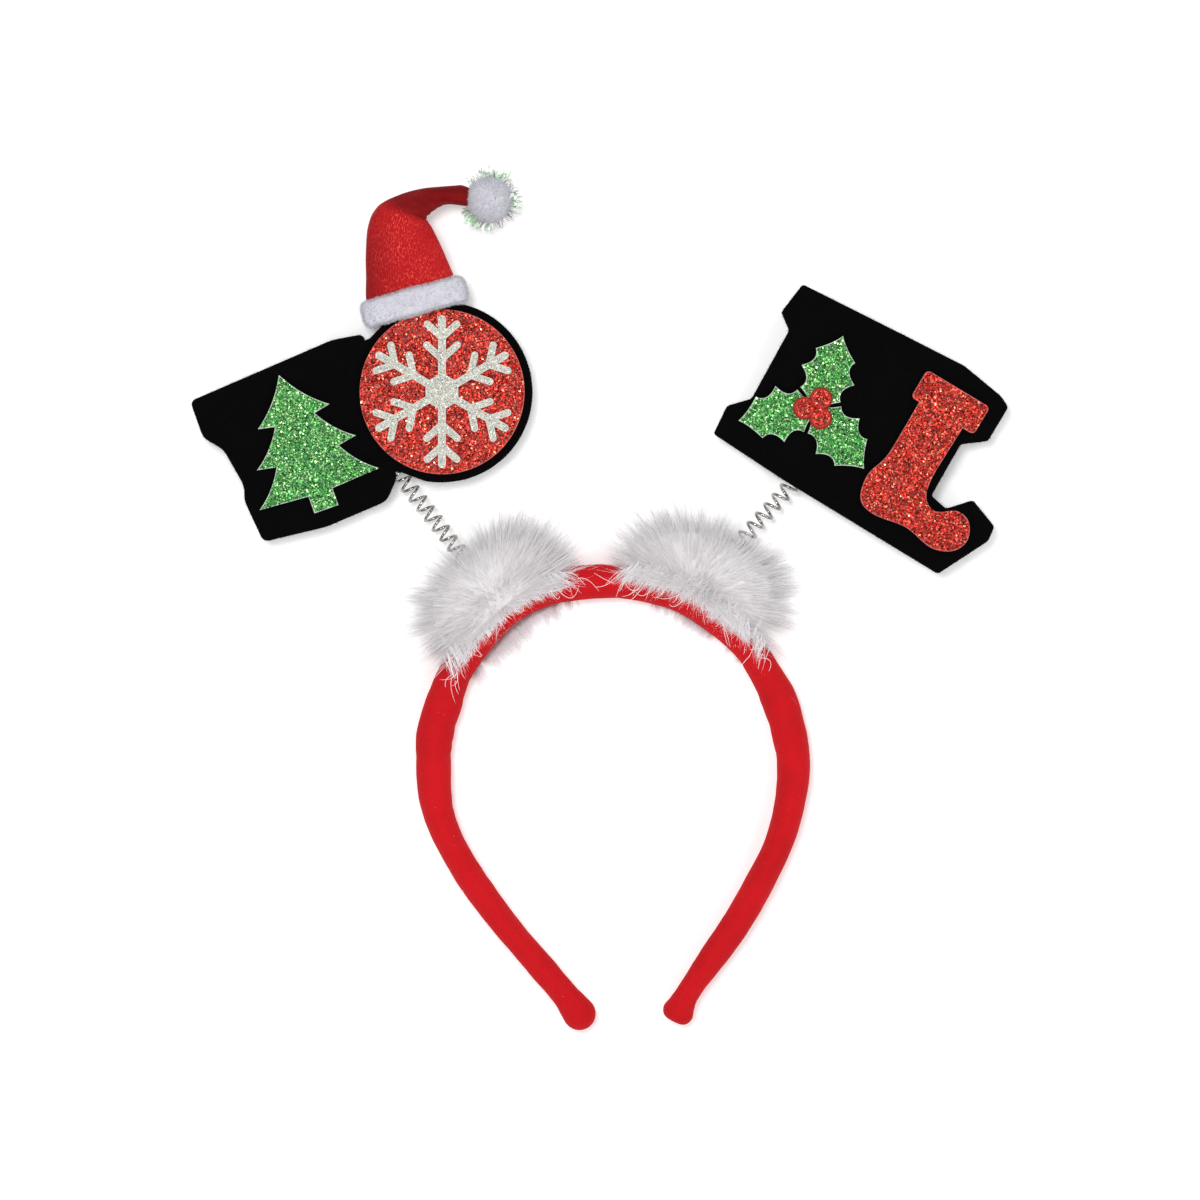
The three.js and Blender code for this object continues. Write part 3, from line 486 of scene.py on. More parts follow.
def sweep(path, radius, sides, cap_rows=3):
    """Rings of a round wire along a path, closed by half balls at its ends.

    Each ring stands across the path's direction. The side vector is the mean direction's
    normal carried along, so the section doesn't twist.
    """
    way = unit(np.gradient(path, axis=0))
    side = np.empty_like(way)
    side[0] = unit(np.cross(way[0], [0.12, 0.33, 0.94]))
    for i in range(1, len(path)):
        carried = side[i - 1] - way[i] * np.dot(side[i - 1], way[i])
        side[i] = carried / np.linalg.norm(carried)
    other = np.cross(way, side)
    turn = circle(sides)[:, None]
    spoke = side[:, None] * np.cos(turn) + other[:, None] * np.sin(turn)
    rings = path[:, None] + radius * spoke
    lean = np.linspace(np.pi / 2, 0, cap_rows, endpoint=False)[1:, None, None]
    first = path[0] + radius * (spoke[0] * np.cos(lean) - way[0] * np.sin(lean))
    last = path[-1] + radius * (spoke[-1] * np.cos(lean) + way[-1] * np.sin(lean))
    return np.concatenate([first, rings, last[::-1]])


def strands(roots, tips, bow, width, facing, segments=4, taper=0.75):
    """Tapered ribbons, one from each root to each tip.

    A ribbon follows a quadratic curve whose middle is pushed by bow. Its half width falls
    from width to zero as (1 - t) to the power taper, across the facing direction.
    Returns points and triangles.
    """
    number = len(roots)
    t = np.linspace(0, 1, segments + 1)[:, None]
    middle = (roots + tips) / 2 + bow
    a, b, c = roots[:, None], middle[:, None], tips[:, None]
    line = (1 - t) ** 2 * a + 2 * t * (1 - t) * b + t**2 * c
    way = unit(2 * (1 - t) * (b - a) + 2 * t * (c - b))
    across = unit(np.cross(way, np.broadcast_to(facing[:, None], way.shape)))
    half = (np.asarray(width).reshape(-1, 1, 1) / 2) * (1 - t) ** taper
    left = line - across * half
    right = line + across * half
    pairs = np.stack([left[:, :-1], right[:, :-1]], axis=2).reshape(number, -1, 3)
    points = np.concatenate([pairs, line[:, -1:]], axis=1)
    per = 2 * segments + 1
    k = 2 * np.arange(segments - 1)
    quads = np.concatenate([
        np.stack([k, k + 1, k + 3], axis=1), np.stack([k, k + 3, k + 2], axis=1),
        [[per - 3, per - 2, per - 1]],
    ])
    faces = (np.arange(number) * per)[:, None, None] + quads
    return points.reshape(-1, 3), faces.reshape(-1, 3), per


def dress(piece, body, slot, *materials):
    """Gives a piece its materials and its body. The slot is not used."""
    for material in materials:
        piece.data.materials.append(material)
    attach(piece, body)


# The band

def spline(table, places):
    """Smooth curve through a table's rows, at places counted in rows.

    Catmull-Rom: each span's ends have the slope of the line between their neighbours.
    """
    last = len(table) - 1
    low = np.clip(np.floor(places).astype(int), 0, last - 1)
    t = (places - low)[:, None]
    p0 = table[np.maximum(low - 1, 0)]
    p1 = table[low]
    p2 = table[low + 1]
    p3 = table[np.minimum(low + 2, last)]
    return 0.5 * (
        2 * p1 + (p2 - p0) * t + (2 * p0 - 5 * p1 + 4 * p2 - p3) * t**2
        + (3 * p1 - p0 - 3 * p2 + p3) * t**3
    )


def even_curve(knots, places):
    """Smooth curve through points with uneven gaps, and its directions.

    Centripetal Catmull-Rom: time between neighbours is the square root of their distance,
    and each span is the cubic with the slopes that those times give at its ends.
    """
    last = len(knots) - 1
    line = np.concatenate([2 * knots[:1] - knots[1:2], knots, 2 * knots[-1:] - knots[-2:-1]])
    gaps = np.sqrt(np.linalg.norm(np.diff(line, axis=0), axis=1))[:, None]
    low = np.clip(np.floor(places).astype(int), 0, last - 1)
    t = (places - low)[:, None]
    p0, p1, p2, p3 = (line[low + k] for k in range(4))
    d0, d1, d2 = (gaps[low + k] for k in range(3))
    m1 = ((p1 - p0) / d0 - (p2 - p0) / (d0 + d1) + (p2 - p1) / d1) * d1
    m2 = ((p2 - p1) / d1 - (p3 - p1) / (d1 + d2) + (p3 - p2) / d2) * d1
    a = 2 * p1 - 2 * p2 + m1 + m2
    b = -3 * p1 + 3 * p2 - 2 * m1 - m2
    return ((a * t + b) * t + m1) * t + p1, unit((3 * a * t + 2 * b) * t + m1)


def band_line(places):
    """Middle line of the band at places counted in stations.

    Returns its points, its directions, the way out of the head, and the half sizes. The
    line is put where the box of the band's solid lies.
    """
    band = sizes("band")
    knots = BAND_STATIONS[:, :2] * np.array([band.width / 2, -band.height])
    flat, way = even_curve(knots, places)
    half = np.array([band.thickness, band.depth]) / 2
    all_along = np.linspace(0, len(knots) - 1, 600)
    fine, fine_way = even_curve(knots, all_along)
    thick = spline(BAND_STATIONS[:, 2:], all_along)[:, :1] * half[0]
    side = thick * np.stack([-fine_way[:, 1], fine_way[:, 0]], axis=1)
    cover = np.concatenate([fine + side, fine - side])
    low, high = np.array(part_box("headband"))
    first, last = cover.min(axis=0), cover.max(axis=0)
    shift = np.array([(low[0] + high[0] - first[0] - last[0]) / 2, high[1] - last[1]])
    points = np.column_stack([flat + shift, np.full(len(flat), (low[2] + high[2]) / 2)])
    way = np.column_stack([way, np.zeros(len(way))])
    out = np.stack([-way[:, 1], way[:, 0], np.zeros(len(way))], axis=1)
    return points, way, out, spline(BAND_STATIONS[:, 2:], places) * half


def knit_finish():
    """Fine red jersey: raised ribs along the band, a soft nap and a little lint."""
    band = sizes("band")
    finish = Finish("red knit")
    rib = finish.ribs(1, band.knit)
    stitch = finish.ribs(0, band.knit * 1.3)
    nap = finish.noise(0.00045, detail=4, roughness=0.7)
    cloud = finish.noise(0.018, detail=2).span(0.35, 0.65)
    lint = finish.noise(0.0009, detail=1, roughness=0.4) > 0.83
    base = finish.mix(cloud, shade(band.red, 0.88), shade(band.red, 1.1))
    deep = finish.mix(nap.span(0.3, 0.7) * 0.5 + 0.25, shade(band.red, 0.6), base)
    coat = finish.mix(lint * 0.35, deep, (0.75, 0.5, 0.48))
    height = rib * stitch * 0.6 + nap * 0.8
    normal = finish.bump(height, 0.00012, 0.7)
    return finish.surface(
        Base_Color=coat, Roughness=0.85, Specular_IOR_Level=0.1, Sheen_Weight=0.08,
        Sheen_Roughness=0.45, Sheen_Tint=(1.0, 0.2, 0.15, 1), Normal=normal,
    )


def band_rings(sides=56, steps=560):
    """The cover's surface: an oval carried along the middle line, with folds and a seam.

    The oval's radius gains cross folds where the band bends most, long soft dents, and a
    stitched groove down the side that faces the head. The ends shrink like half balls.
    """
    band = sizes("band")
    last = len(BAND_STATIONS) - 1
    places = np.linspace(0, last, steps)
    points, way, out, halves = band_line(places)
    along = run_length(points)
    turn = circle(sides) + np.pi / sides
    rng = np.random.default_rng(11)
    inner = 0.5 - 0.5 * np.cos(turn)
    relief = np.zeros((steps, sides))
    # Place along the middle line and depth of each cross fold
    folds = [(8.1, 1.0), (8.7, 0.8), (9.4, 1.1), (10.2, 0.7), (6.6, 0.5), (18.6, 0.6),
             (19.5, 0.9), (20.4, 0.8), (21.5, 0.5), (4.4, 0.35), (23.3, 0.4)]
    for place, weight in folds:
        tilt = rng.uniform(-0.35, 0.35)
        shift = places[:, None] - place - tilt * np.sin(turn)
        relief -= weight * np.exp(-(shift / 0.16) ** 2) * (0.25 + 0.75 * inner)
    for scale, weight in ((0.9, 0.7), (2.1, 0.4), (4.7, 0.22)):
        phase = rng.uniform(0, 2 * np.pi, 3)
        relief += weight * np.sin(places * scale * 1.7 + phase[0])[:, None] * np.sin(
            2 * turn + phase[1] + places[:, None] * scale * 0.6)
    seam = np.exp(-((turn - np.pi) / 0.09) ** 2)
    pucker = 0.6 + 0.4 * np.sin(along / 0.0011)
    relief -= 1.8 * seam * pucker[:, None]
    gather = np.exp(-((places - 0.9) / 0.35) ** 2) + np.exp(-((places - last + 0.9) / 0.35) ** 2)
    relief += 0.8 * gather[:, None] * np.sin(13 * turn)
    push = np.clip(relief, -2.2, 0.9) * band.crease
    across = (halves[:, :1] + push) * np.cos(turn)
    rise = (halves[:, 1:] + push) * np.sin(turn)
    rings = points[:, None] + out[:, None] * across[..., None] + UP * rise[..., None]
    cap_rows = 14
    caps = []
    for row, sign, blunt in ((0, -1, 1.0), (-1, 1, 0.55)):
        lean = np.linspace(0, np.pi / 2, cap_rows, endpoint=False)[1:]
        shrink = np.cos(lean)[:, None, None] ** blunt
        reach = halves[row, 0] * np.sin(lean)[:, None, None] * blunt**0.5
        body = (rings[row] - points[row]) * shrink
        caps.append(points[row] + body + sign * way[row] * reach)
    cap_step = np.arange(1, cap_rows) * halves[0, 0] / cap_rows * 1.57
    rings = np.concatenate([caps[0][::-1], rings, caps[1]])
    keep_over(rings)
    along = np.concatenate([-cap_step[::-1], along, along[-1] + cap_step])
    return rings, along - along[0]


class HEADBAND_OT_band(bpy.types.Operator):
    """Adds the padded band"""
    bl_idname = "headband.band"
    bl_label = "Padded band"

    def execute(self, context):
        band = sizes("band")
        rings, along = band_rings()
        around = math.pi * (band.thickness + band.depth) / 2
        piece = tube_piece("padded_band", rings, along, around)
        dress(piece, "headband", "red_knit", knit_finish())
        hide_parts("headband")
        return {"FINISHED"}


# The springs

def spring_plan(side):
    """Base, direction and free length of a spring, from its two hinges."""
    nod = np.array(JOINTS[side + "_nod"]["pos_m"])
    sway = np.array(JOINTS[side + "_sway"]["pos_m"])
    free = np.linalg.norm(sway - nod) / (SWAY_SHARE - NOD_SHARE)
    way = unit(sway - nod)
    return nod - way * NOD_SHARE * free, way, free


def coil_path(total, steps_per_turn=30):
    """Middle line of a coil with closed ends, along +Z from the origin.

    The angle grows evenly. The rise is slow over the closed turns and a pitch a turn between.
    """
    spring = sizes("spring")
    closed = 1.25
    end_rise = closed * 1.15 * spring.wire
    height = total - spring.wire
    turns = (height - 2 * end_rise) / spring.pitch + 2 * closed
    turn = np.linspace(0, turns, round(turns * steps_per_turn))
    from_end = np.minimum(turn, turns - turn)
    low = np.minimum(from_end, closed) / closed * end_rise
    open_rise = np.maximum(from_end - closed, 0) * spring.pitch
    rise = np.where(turn < turns / 2, low + open_rise, height - low - open_rise)
    radius = (spring.outer - spring.wire) / 2
    angle = turn * 2 * np.pi
    return np.stack([radius * np.cos(angle), radius * np.sin(angle), spring.wire / 2 + rise],
                    axis=1)


def steel_finish():
    """Drawn steel wire with faint drawing marks and a few dull patches."""
    spring = sizes("spring")
    finish = Finish("spring wire")
    dull = finish.noise(0.003, detail=3).span(0.4, 0.7)
    base = finish.mix(dull, spring.steel[:], shade(spring.steel, 0.5))
    marks = finish.noise(0.00018, detail=2)
    return finish.surface(
        Base_Color=base, Metallic=1.0, Roughness=dull * 0.12 + 0.13,
        Normal=finish.bump(marks, 0.00002, 0.4),
    )


class HEADBAND_OT_springs(bpy.types.Operator):
    """Adds both coil springs, each in a lower and an upper half"""
    bl_idname = "headband.springs"
    bl_label = "Coil springs"

    def execute(self, context):
        spring = sizes("spring")
        finish = steel_finish()
        for side in ("left", "right"):
            base, way, free = spring_plan(side)
            across = unit(np.cross(UP, way))
            path = coil_path(free + spring.tuck - COIL_END)
            split = int(np.searchsorted(path[:, 2] / free, MIDDLE_SHARE))
            places = base + path[:, :1] * across + path[:, 1:2] * UP + path[:, 2:] * way
            halves = {"lower": places[:split + 1], "upper": places[split:]}
            for half, line in halves.items():
                rings = sweep(line, spring.wire / 2 * WIRE_SHOWN, 12)
                along = np.linspace(0, 1, len(rings))
                name = f"{side}_spring_{half}"
                piece = tube_piece(name, rings, along, math.pi * spring.wire)
                piece.data.materials.append(finish)
                if half == "lower":
                    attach(piece, "headband")
                    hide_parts(side + "_spring")
            self.bend(side, base, way, free)
        return {"FINISHED"}

    @staticmethod
    def bend(side, base, way, free):
        """Frees each half from its parent and bakes its place into its mesh."""
        coil, sign = side + "_coil", side + "_sign"
        spans = (
            ("lower", "headband", coil, 2 * NOD_SHARE - MIDDLE_SHARE, MIDDLE_SHARE),
            ("upper", coil, sign, MIDDLE_SHARE, 2 * SWAY_SHARE - MIDDLE_SHARE),
        )
        for half, near, far, start, end in spans:
            piece = bpy.data.objects[f"{side}_spring_{half}"]
            piece.parent = None
            base + way * start * free
            base + way * end * free
            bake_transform(piece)


# Down tufts

TUFTS = {
    "left": {
        "seat": LEFT_SEAT, "along": 0.0345, "outward": 0.028, "fuller": 0.0,
        "cover": -0.06, "veil": 2.4, "fringe": 0.0125, "fringe_share": 1.35,
    },
    "right": {
        "seat": RIGHT_SEAT, "along": 0.036, "outward": 0.030, "fuller": 0.14,
        "cover": -0.55, "veil": 0.6, "fringe": 0.0065, "fringe_share": 0.4,
    },
}
PLUMPNESS = 2.6


def tuft_frame(side):
    """Centre of a tuft and its three directions, as rows: along, outward and up."""
    place = np.array([-0.01, 0.0, 0.01]) + TUFTS[side]["seat"]
    points, way, out, _ = band_line(place)
    centre = points[1] + out[1] * sizes("fur").lift
    return centre, np.stack([way[1], out[1], UP])


def tuft_points(side, directions):
    """Points of a tuft's outer form in its own frame, one for each direction.

    The form is a rounded box whose outward reach grows towards +X by the fuller share.
    """
    tuft = TUFTS[side]
    total = (np.abs(directions) ** PLUMPNESS).sum(axis=1, keepdims=True)
    points = directions / total ** (1 / PLUMPNESS)
    reach = tuft["outward"] * (1 + tuft["fuller"] * points[:, 0])
    return points * np.stack(
        [np.full(len(points), tuft["along"]), reach,
         np.full(len(points), sizes("fur").front)], axis=1)


def beside_band(points):
    """For each point the nearest place on the band's middle line.

    Returns how far the point lies outside the line, the places, their directions, the way
    out of the head there, and the band's half sizes.
    """
    line, way, out, halves = band_line(np.linspace(2, 26, 300))
    flat = points[:, None, :2] - line[None, :, :2]
    nearest = np.argmin((flat**2).sum(-1), axis=1)
    gap = flat[np.arange(len(points)), nearest]
    outward = out[nearest]
    return (gap * outward[:, :2]).sum(-1), line[nearest], way[nearest], outward, halves[nearest]


def along_tuft(side, spread):
    """Places on the band's middle line beside a tuft, at shares of the tuft's half length."""
    centre, basis = tuft_frame(side)
    spots = centre + basis[0] * (spread * TUFTS[side]["along"])[:, None]
    return beside_band(spots)[1:]


def down_finish():
    """White down, grey where its tone is low: painted shade round the tuft's rim and among the
    barbs.
    """
    fur = sizes("fur")
    finish = Finish("white down")
    stops = [
        (0.0, shade(fur.white, 0.3)), (0.5, shade(fur.white, 0.73)), (1.0, fur.white[:]),
    ]
    base = finish.ramp(finish.attribute("tone"), stops)
    return finish.surface(Base_Color=base, Roughness=0.7, Specular_IOR_Level=0.25)


def down_strands(side, rng):
    """Barbs of a tuft: from inside its core to its outer form, gathered into soft locks.

    Tips lean towards the tip of the nearest lock. One barb in ten is a longer, paler stray.
    Barbs that look sideways are painted grey towards their tips, painted shade round the tuft's
    rim, and those that face up or down stay white. Few of those on the head's side are kept,
    the fewer the deeper and nearer the ends, and none that reach into the spring's way.
    """
    number, lock_count, stray_share = sizes("fur").strands, 520, 0.1
    centre, basis = tuft_frame(side)
    ways = unit(rng.normal(size=(number, 3)))
    locks = unit(rng.normal(size=(lock_count, 3)))
    owner = np.argmax(ways @ locks.T + rng.normal(0, 0.012, (number, len(locks))), axis=1)
    outer = tuft_points(side, ways)
    gathered = tuft_points(side, locks)[owner] * rng.uniform(0.86, 1.18, (len(locks), 1))[owner]
    roots = outer * rng.uniform(0.4, 0.66, (number, 1))
    rim = np.clip((0.75 - np.abs(ways[:, 2])) / 0.6, 0, 1)
    pull = rng.uniform(0.35, 0.92, (number, 1)) * (0.3 + 0.7 * rim[:, None])
    stray = rng.random((number, 1)) < stray_share
    reach = rng.beta(3, 2, (number, 1)) * np.where(stray, 0.5, 0.34) + np.where(stray, 0.89, 0.73)
    tips = (outer * (1 - pull) + gathered * pull) * reach + rng.normal(0, 0.0006, (number, 3))
    bow = rng.normal(0, 0.0013, (number, 3)) + np.array([0, 0, 0.0006])
    # Tones are painted shade: greyer where a barb looks sideways, most at its tip, and one barb in
    # eight darker still for the shade between locks. Strays keep paler tips.
    dark = np.where(rng.random(number) < 0.12, 0.22, 0.0) + rng.uniform(-0.08, 0.08, number)
    tones = np.stack([0.72 - 0.1 * rim - dark,
                      0.77 - 0.22 * rim - dark * (0.4 + rim) + 0.2 * rim * stray[:, 0]], axis=1)
    spread = np.abs(tips[:, 0]) / TUFTS[side]["along"]
    roots, tips = centre + roots @ basis, centre + tips @ basis
    below = tips[:, 2] < centre[2]
    ragged = rng.normal(0, 0.0012, number)
    roots, _ = laid_on_band(side, roots, ragged, 0.0015)
    tips, depth = laid_on_band(side, tips, ragged, 0.004)
    ends = np.clip((spread - 0.7) / 0.3, 0, 1)
    chance = np.exp(-depth / 0.0025) * (1 - 0.8 * ends * (depth > 0))
    keep = (rng.random(number) < chance) & ~(below & (depth > 0.001)) & ~in_swing(side, tips)
    tips[:, 2] += np.where(depth > 0, rng.uniform(0, 0.0014, number), 0)
    return roots[keep], tips[keep], (bow @ basis)[keep], tones[keep]


def in_swing(side, points):
    """Which points lie where the upper half of a side's spring passes when it nods.

    That is a wedge past the nod hinge, 4.8 mm to each side of the plane in which it nods.
    """
    _, way, free = spring_plan(side)
    local = points - np.array(JOINTS[side + "_nod"]["pos_m"])
    away = np.hypot(local @ way, local @ UP)
    beside = np.abs(local @ unit(np.cross(UP, way)))
    steepness, aside, margin = 0.65, 0.0048, 0.002
    nearest = (SWAY_SHARE - NOD_SHARE) / 2 * free - margin
    swung = (local @ way > 0) & (np.abs(local @ UP) < away * steepness)
    return swung & (beside < aside) & (away > nearest)


def tuft_edge(side, points, half):
    """How far outside the band's middle line a tuft's dense part ends, for each point.

    It grows from the tuft's own share of the band's half width to all of it at the ends.
    """
    tuft = TUFTS[side]
    centre, basis = tuft_frame(side)
    share = np.minimum(np.abs((points - centre) @ basis[0]) / tuft["along"], 1.1)
    return half[:, 0] * (-tuft["cover"] + (1 + tuft["cover"]) * share**1.8)


def laid_on_band(side, points, ragged, reach):
    """Points on the head's side of the tuft's edge line, laid on the band's front instead.

    Depth d past the line becomes reach * (1 - exp(-d / reach)). The height over the band's
    front eases from all of it far outside to a share of 0.4 at the line and to nothing
    inside, by exp(-distance / 8 mm). Returns the points and their old depths.
    """
    gap, middle, _, outward, half = beside_band(points)
    edge = tuft_edge(side, points, half) + ragged
    depth = np.maximum(edge - gap, 0)
    kept = reach * (1 - np.exp(-depth / reach))
    across = (np.maximum(gap, edge) - kept) / half[:, 0]
    face = middle[:, 2] + half[:, 1] * arch(across)
    fall = np.exp(-np.abs(gap - edge) / 0.008)
    over = points[:, 2] - face
    eased = over * np.where(depth > 0, 0.4 * fall, 1 - 0.6 * fall)
    laid = points + outward * (depth - kept)[:, None]
    laid[:, 2] = face + np.where(over > 0, eased, np.where(depth > 0, 0, over))
    return laid, depth


def veil_strands(side, rng):
    """Barbs that lie over the band's inner half and thin out there, in small sheaves.

    Each is bowed up so far that it clears the band's rounded front.
    """
    number, sheaf_count = sizes("fur").wisps // 2, 110
    sheaf = rng.beta(2, 2, sheaf_count) * 1.9 - 0.95
    owner = rng.integers(0, sheaf_count, number)
    spread = sheaf[owner] + rng.normal(0, 0.035, number)
    middle, way, outward, half = along_tuft(side, spread)
    length = rng.uniform(0.0035, 0.0115, sheaf_count) * (1.15 - 0.7 * np.abs(sheaf))
    length *= TUFTS[side]["veil"]
    depth = np.minimum(length[owner] * rng.uniform(0.1, 1.1, number), half[:, 0] * 0.98)
    face = arch(depth / half[:, 0]) * half[:, 1]
    edge = tuft_edge(side, middle, half)
    above = rng.uniform(0, 0.009, number) * (1 - 0.85 * np.abs(sheaf[owner]))
    root = middle + outward * (edge + above)[:, None]
    root -= way * (sheaf[owner] * above * 0.6)[:, None]
    root[:, 2] += half[:, 1] + above * rng.uniform(0.1, 0.5, number)
    lean = sheaf[owner] * 0.006 + rng.normal(0, 0.0035, sheaf_count)[owner]
    lean += rng.normal(0, 0.001, number)
    tip = middle - outward * depth[:, None] + way * lean[:, None]
    tip[:, 2] += face + rng.uniform(0.0, 0.0016, number)
    halfway = np.clip((edge + above - depth) / 2 / half[:, 0], -0.99, 0.99)
    over = middle[:, 2] + half[:, 1] * np.sqrt(1 - halfway**2) - (root[:, 2] + tip[:, 2]) / 2
    rise = np.maximum(over, 0) * 2.3 + rng.uniform(0.0, 0.001, number)
    bow = UP * rise[:, None] + way * rng.normal(0, 0.001, (number, 1))
    # Roots a little greyer than tips: painted shade where the veil leaves the tuft.
    tones = np.stack([rng.uniform(0.75, 0.9, number), rng.uniform(0.85, 1, number)], axis=1)
    return root, tip, bow, tones


def fringe_strands(side, rng):
    """Barbs that lie under the band's rounded side and stick out past its inner edge.

    Most end in one of the pointed locks. The free ones go their own way.
    """
    tuft = TUFTS[side]
    number = int(sizes("fur").wisps * tuft["fringe_share"])
    lock_count, free_share = 40, 0.3
    towards_crown = -1 if side == "left" else 1
    lock = np.clip(rng.normal(0.12 * towards_crown, 0.45, lock_count), -0.95, 0.95)
    owner = rng.integers(0, lock_count, number)
    near = np.clip(lock[owner] + rng.normal(0, 0.05, number), -1, 1)
    middle, way, outward, half = along_tuft(side, near)
    long = rng.uniform(0.4, 1.0, lock_count) * (1 - 0.35 * np.abs(lock))
    free = rng.random(number) < free_share
    length = long[owner] * rng.uniform(0.25, 1.0, number) + free * rng.uniform(0, 0.2, number)
    reach = half[:, 0] + length * tuft["fringe"]
    root = middle - outward * half[:, :1] * rng.uniform(0.25, 0.5, (number, 1))
    root[:, 2] = rng.uniform(0.0001, 0.0006, number)
    joined = (lock[owner] - near) * tuft["along"] * np.where(free, 0, 0.7)
    lean = rng.normal(0, 0.0024, lock_count)[owner] + rng.normal(0, 0.0005, number)
    lean += free * rng.normal(0, 0.0025, number)
    tip = middle - outward * reach[:, None] + way * (joined + lean)[:, None]
    tip[:, 2] = rng.uniform(0.001, 0.005, lock_count)[owner] + rng.uniform(0, 0.0015, number)
    bow = way * rng.normal(0, 0.0008, (number, 1)) + UP * 0.0002
    # Roots greyer than tips: painted shade under the band.
    tones = np.stack([np.full(number, 0.75), rng.uniform(0.85, 1.0, number)], axis=1)
    return root, tip, bow, tones


def curl_strands(side, rng, number=40):
    """Long loose barbs that lie on the band beside and past a tuft and curl sideways."""
    spread = rng.uniform(-1.12, 1.12, number)
    middle, way, outward, half = along_tuft(side, spread)
    drift = way * (np.sign(spread) * rng.uniform(0.001, 0.011, number))[:, None]
    root = middle + outward * rng.uniform(-0.002, 0.003, (number, 1)) + UP * half[:, 1:]
    tip = middle - outward * rng.uniform(-0.004, 0.0065, (number, 1)) + drift
    tip[:, 2] += half[:, 1] * rng.uniform(0.8, 1.1, number)
    bow = outward * rng.normal(0, 0.0045, (number, 1)) + UP * 0.0014
    return root, tip, bow


class HEADBAND_OT_tufts(bpy.types.Operator):
    """Adds both down tufts, each a soft core under thousands of barbs"""
    bl_idname = "headband.tufts"
    bl_label = "Down tufts"

    def execute(self, context):
        finish = down_finish()
        for side in ("left", "right"):
            self.core(side, finish)
            self.barbs(side, finish)
        return {"FINISHED"}

    @staticmethod
    def core(side, finish):
        """The dense middle of a tuft: its outer form, made smaller.

        What lies over the band's front slopes down onto it. What would lie in the band is
        pushed out past its outer side.
        """
        rows, around, size, clearance = 44, 84, 0.75, 0.0006
        ways = ball(rows, around).reshape(-1, 3)
        centre, basis = tuft_frame(side)
        points = centre + tuft_points(side, ways) * size @ basis
        gap, middle, _, outward, half = beside_band(points)
        low = points[:, 2] < middle[:, 2] + half[:, 1]
        rise = (points[:, 2] - middle[:, 2]) / half[:, 1]
        room = half[:, 0] * arch(rise, 0) + clearance
        pushed = points + outward * np.maximum(room - gap, 0)[:, None]
        laid, _ = laid_on_band(side, points, 0.002, 0.0012)
        points = np.where(low[:, None], pushed, laid)
        keep_over(points, clearance)
        rings = points.reshape(rows, around, 3)
        # The core's tone of 0.66 greys it a little: painted shade of the tuft's depth under the
        # barbs.
        core = tube_piece(side + "_down_core", rings, np.linspace(0, 0.05, rows), 0.16,
                          np.full((rows, around), 0.66))
        dress(core, "headband", "white_fur", finish)
        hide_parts(side + "_fur")

    @staticmethod
    def barbs(side, finish):
        """All strands of a tuft in one mesh, kept above the surface and out of the head."""
        rng = np.random.default_rng(21 if side == "left" else 22)
        sets = [down_strands(side, rng), veil_strands(side, rng), fringe_strands(side, rng)]
        roots, tips, bow, tones = (np.concatenate(parts) for parts in zip(*sets))
        number = len(roots)
        facing = unit(UP * 0.8 + rng.normal(0, 0.6, (number, 3)))
        width = sizes("fur").barb * rng.uniform(0.55, 1.35, number)
        points, faces, per = strands(roots, tips, bow, width, facing)
        keep_over(points)
        rise = along_strand(per, 0, 1)
        tones = (tones[:, :1] * (1 - rise) + tones[:, 1:] * rise).ravel()
        piece = new_piece(side + "_down", points, faces, tones=tones)
        dress(piece, "headband", "white_fur", finish)
        roots, tips, bow = curl_strands(side, rng)
        facing = np.broadcast_to(UP, roots.shape)
        points, faces, _ = strands(roots, tips, bow, 0.00017, facing, segments=16, taper=0.3)
        curls = new_piece(side + "_down_curls", points, faces, tones=np.ones(len(points)))
        dress(curls, "headband", "white_fur", finish)


# Felt boards and glitter

def felt_finish():
    """Black pressed felt: matted fibres in the bump and a slightly greyer nap."""
    sign = sizes("sign")
    finish = Finish("black felt")
    mat = finish.noise(0.0006, detail=5, roughness=0.75)
    broad = finish.noise(0.009, detail=2).span(0.35, 0.7)
    base = finish.mix(mat.span(0.45, 0.75), sign.black[:], shade(sign.black, 2.6))
    worn = finish.mix(broad * 0.4, base, shade(sign.black, 2.0))
    return finish.surface(
        Base_Color=worn, Roughness=0.95, Specular_IOR_Level=0.04, Sheen_Weight=0.01,
        Sheen_Roughness=0.5, Normal=finish.bump(mat, 0.0002, 0.8),
    )


def felt_lint(node, body, finish, seed):
    """Short fibres that stand off a felt board's faces and edges.

    Roots are drawn over the board's triangles by area, and each fibre leaves along the
    face's normal, bent over at random.
    """
    sign = sizes("sign")
    rng = np.random.default_rng(seed)
    spots, normals = scatter(NODES[node].data, sign.lint, rng)
    lean = rng.normal(0, 0.8, (len(spots), 3))
    ways = unit(normals + lean)
    tips = spots + ways * rng.uniform(0.0003, 0.0011, (len(spots), 1))
    bow = rng.normal(0, 0.00015, (len(spots), 3))
    facing = unit(rng.normal(size=(len(spots), 3)))
    points, faces, _ = strands(spots, tips, bow, 0.00005, facing, segments=3)
    piece = new_piece(node + "_lint", points, faces)
    dress(piece, body, "black_felt", finish)


def mesh_arrays(mesh):
    """A mesh's points, and the three point numbers of each of its triangles."""
    mesh.calc_loop_triangles()
    corners = np.empty(3 * len(mesh.loop_triangles), np.int32)
    mesh.loop_triangles.foreach_get("vertices", corners)
    co = np.empty(3 * len(mesh.vertices), np.float32)
    mesh.vertices.foreach_get("co", co)
    return co.reshape(-1, 3), corners.reshape(-1, 3)


def triangle_corners(mesh, chosen=slice(None)):
    """The three corners of each triangle of a mesh, as three arrays."""
    co, corners = mesh_arrays(mesh)
    return np.moveaxis(co[corners[chosen]], 1, 0)


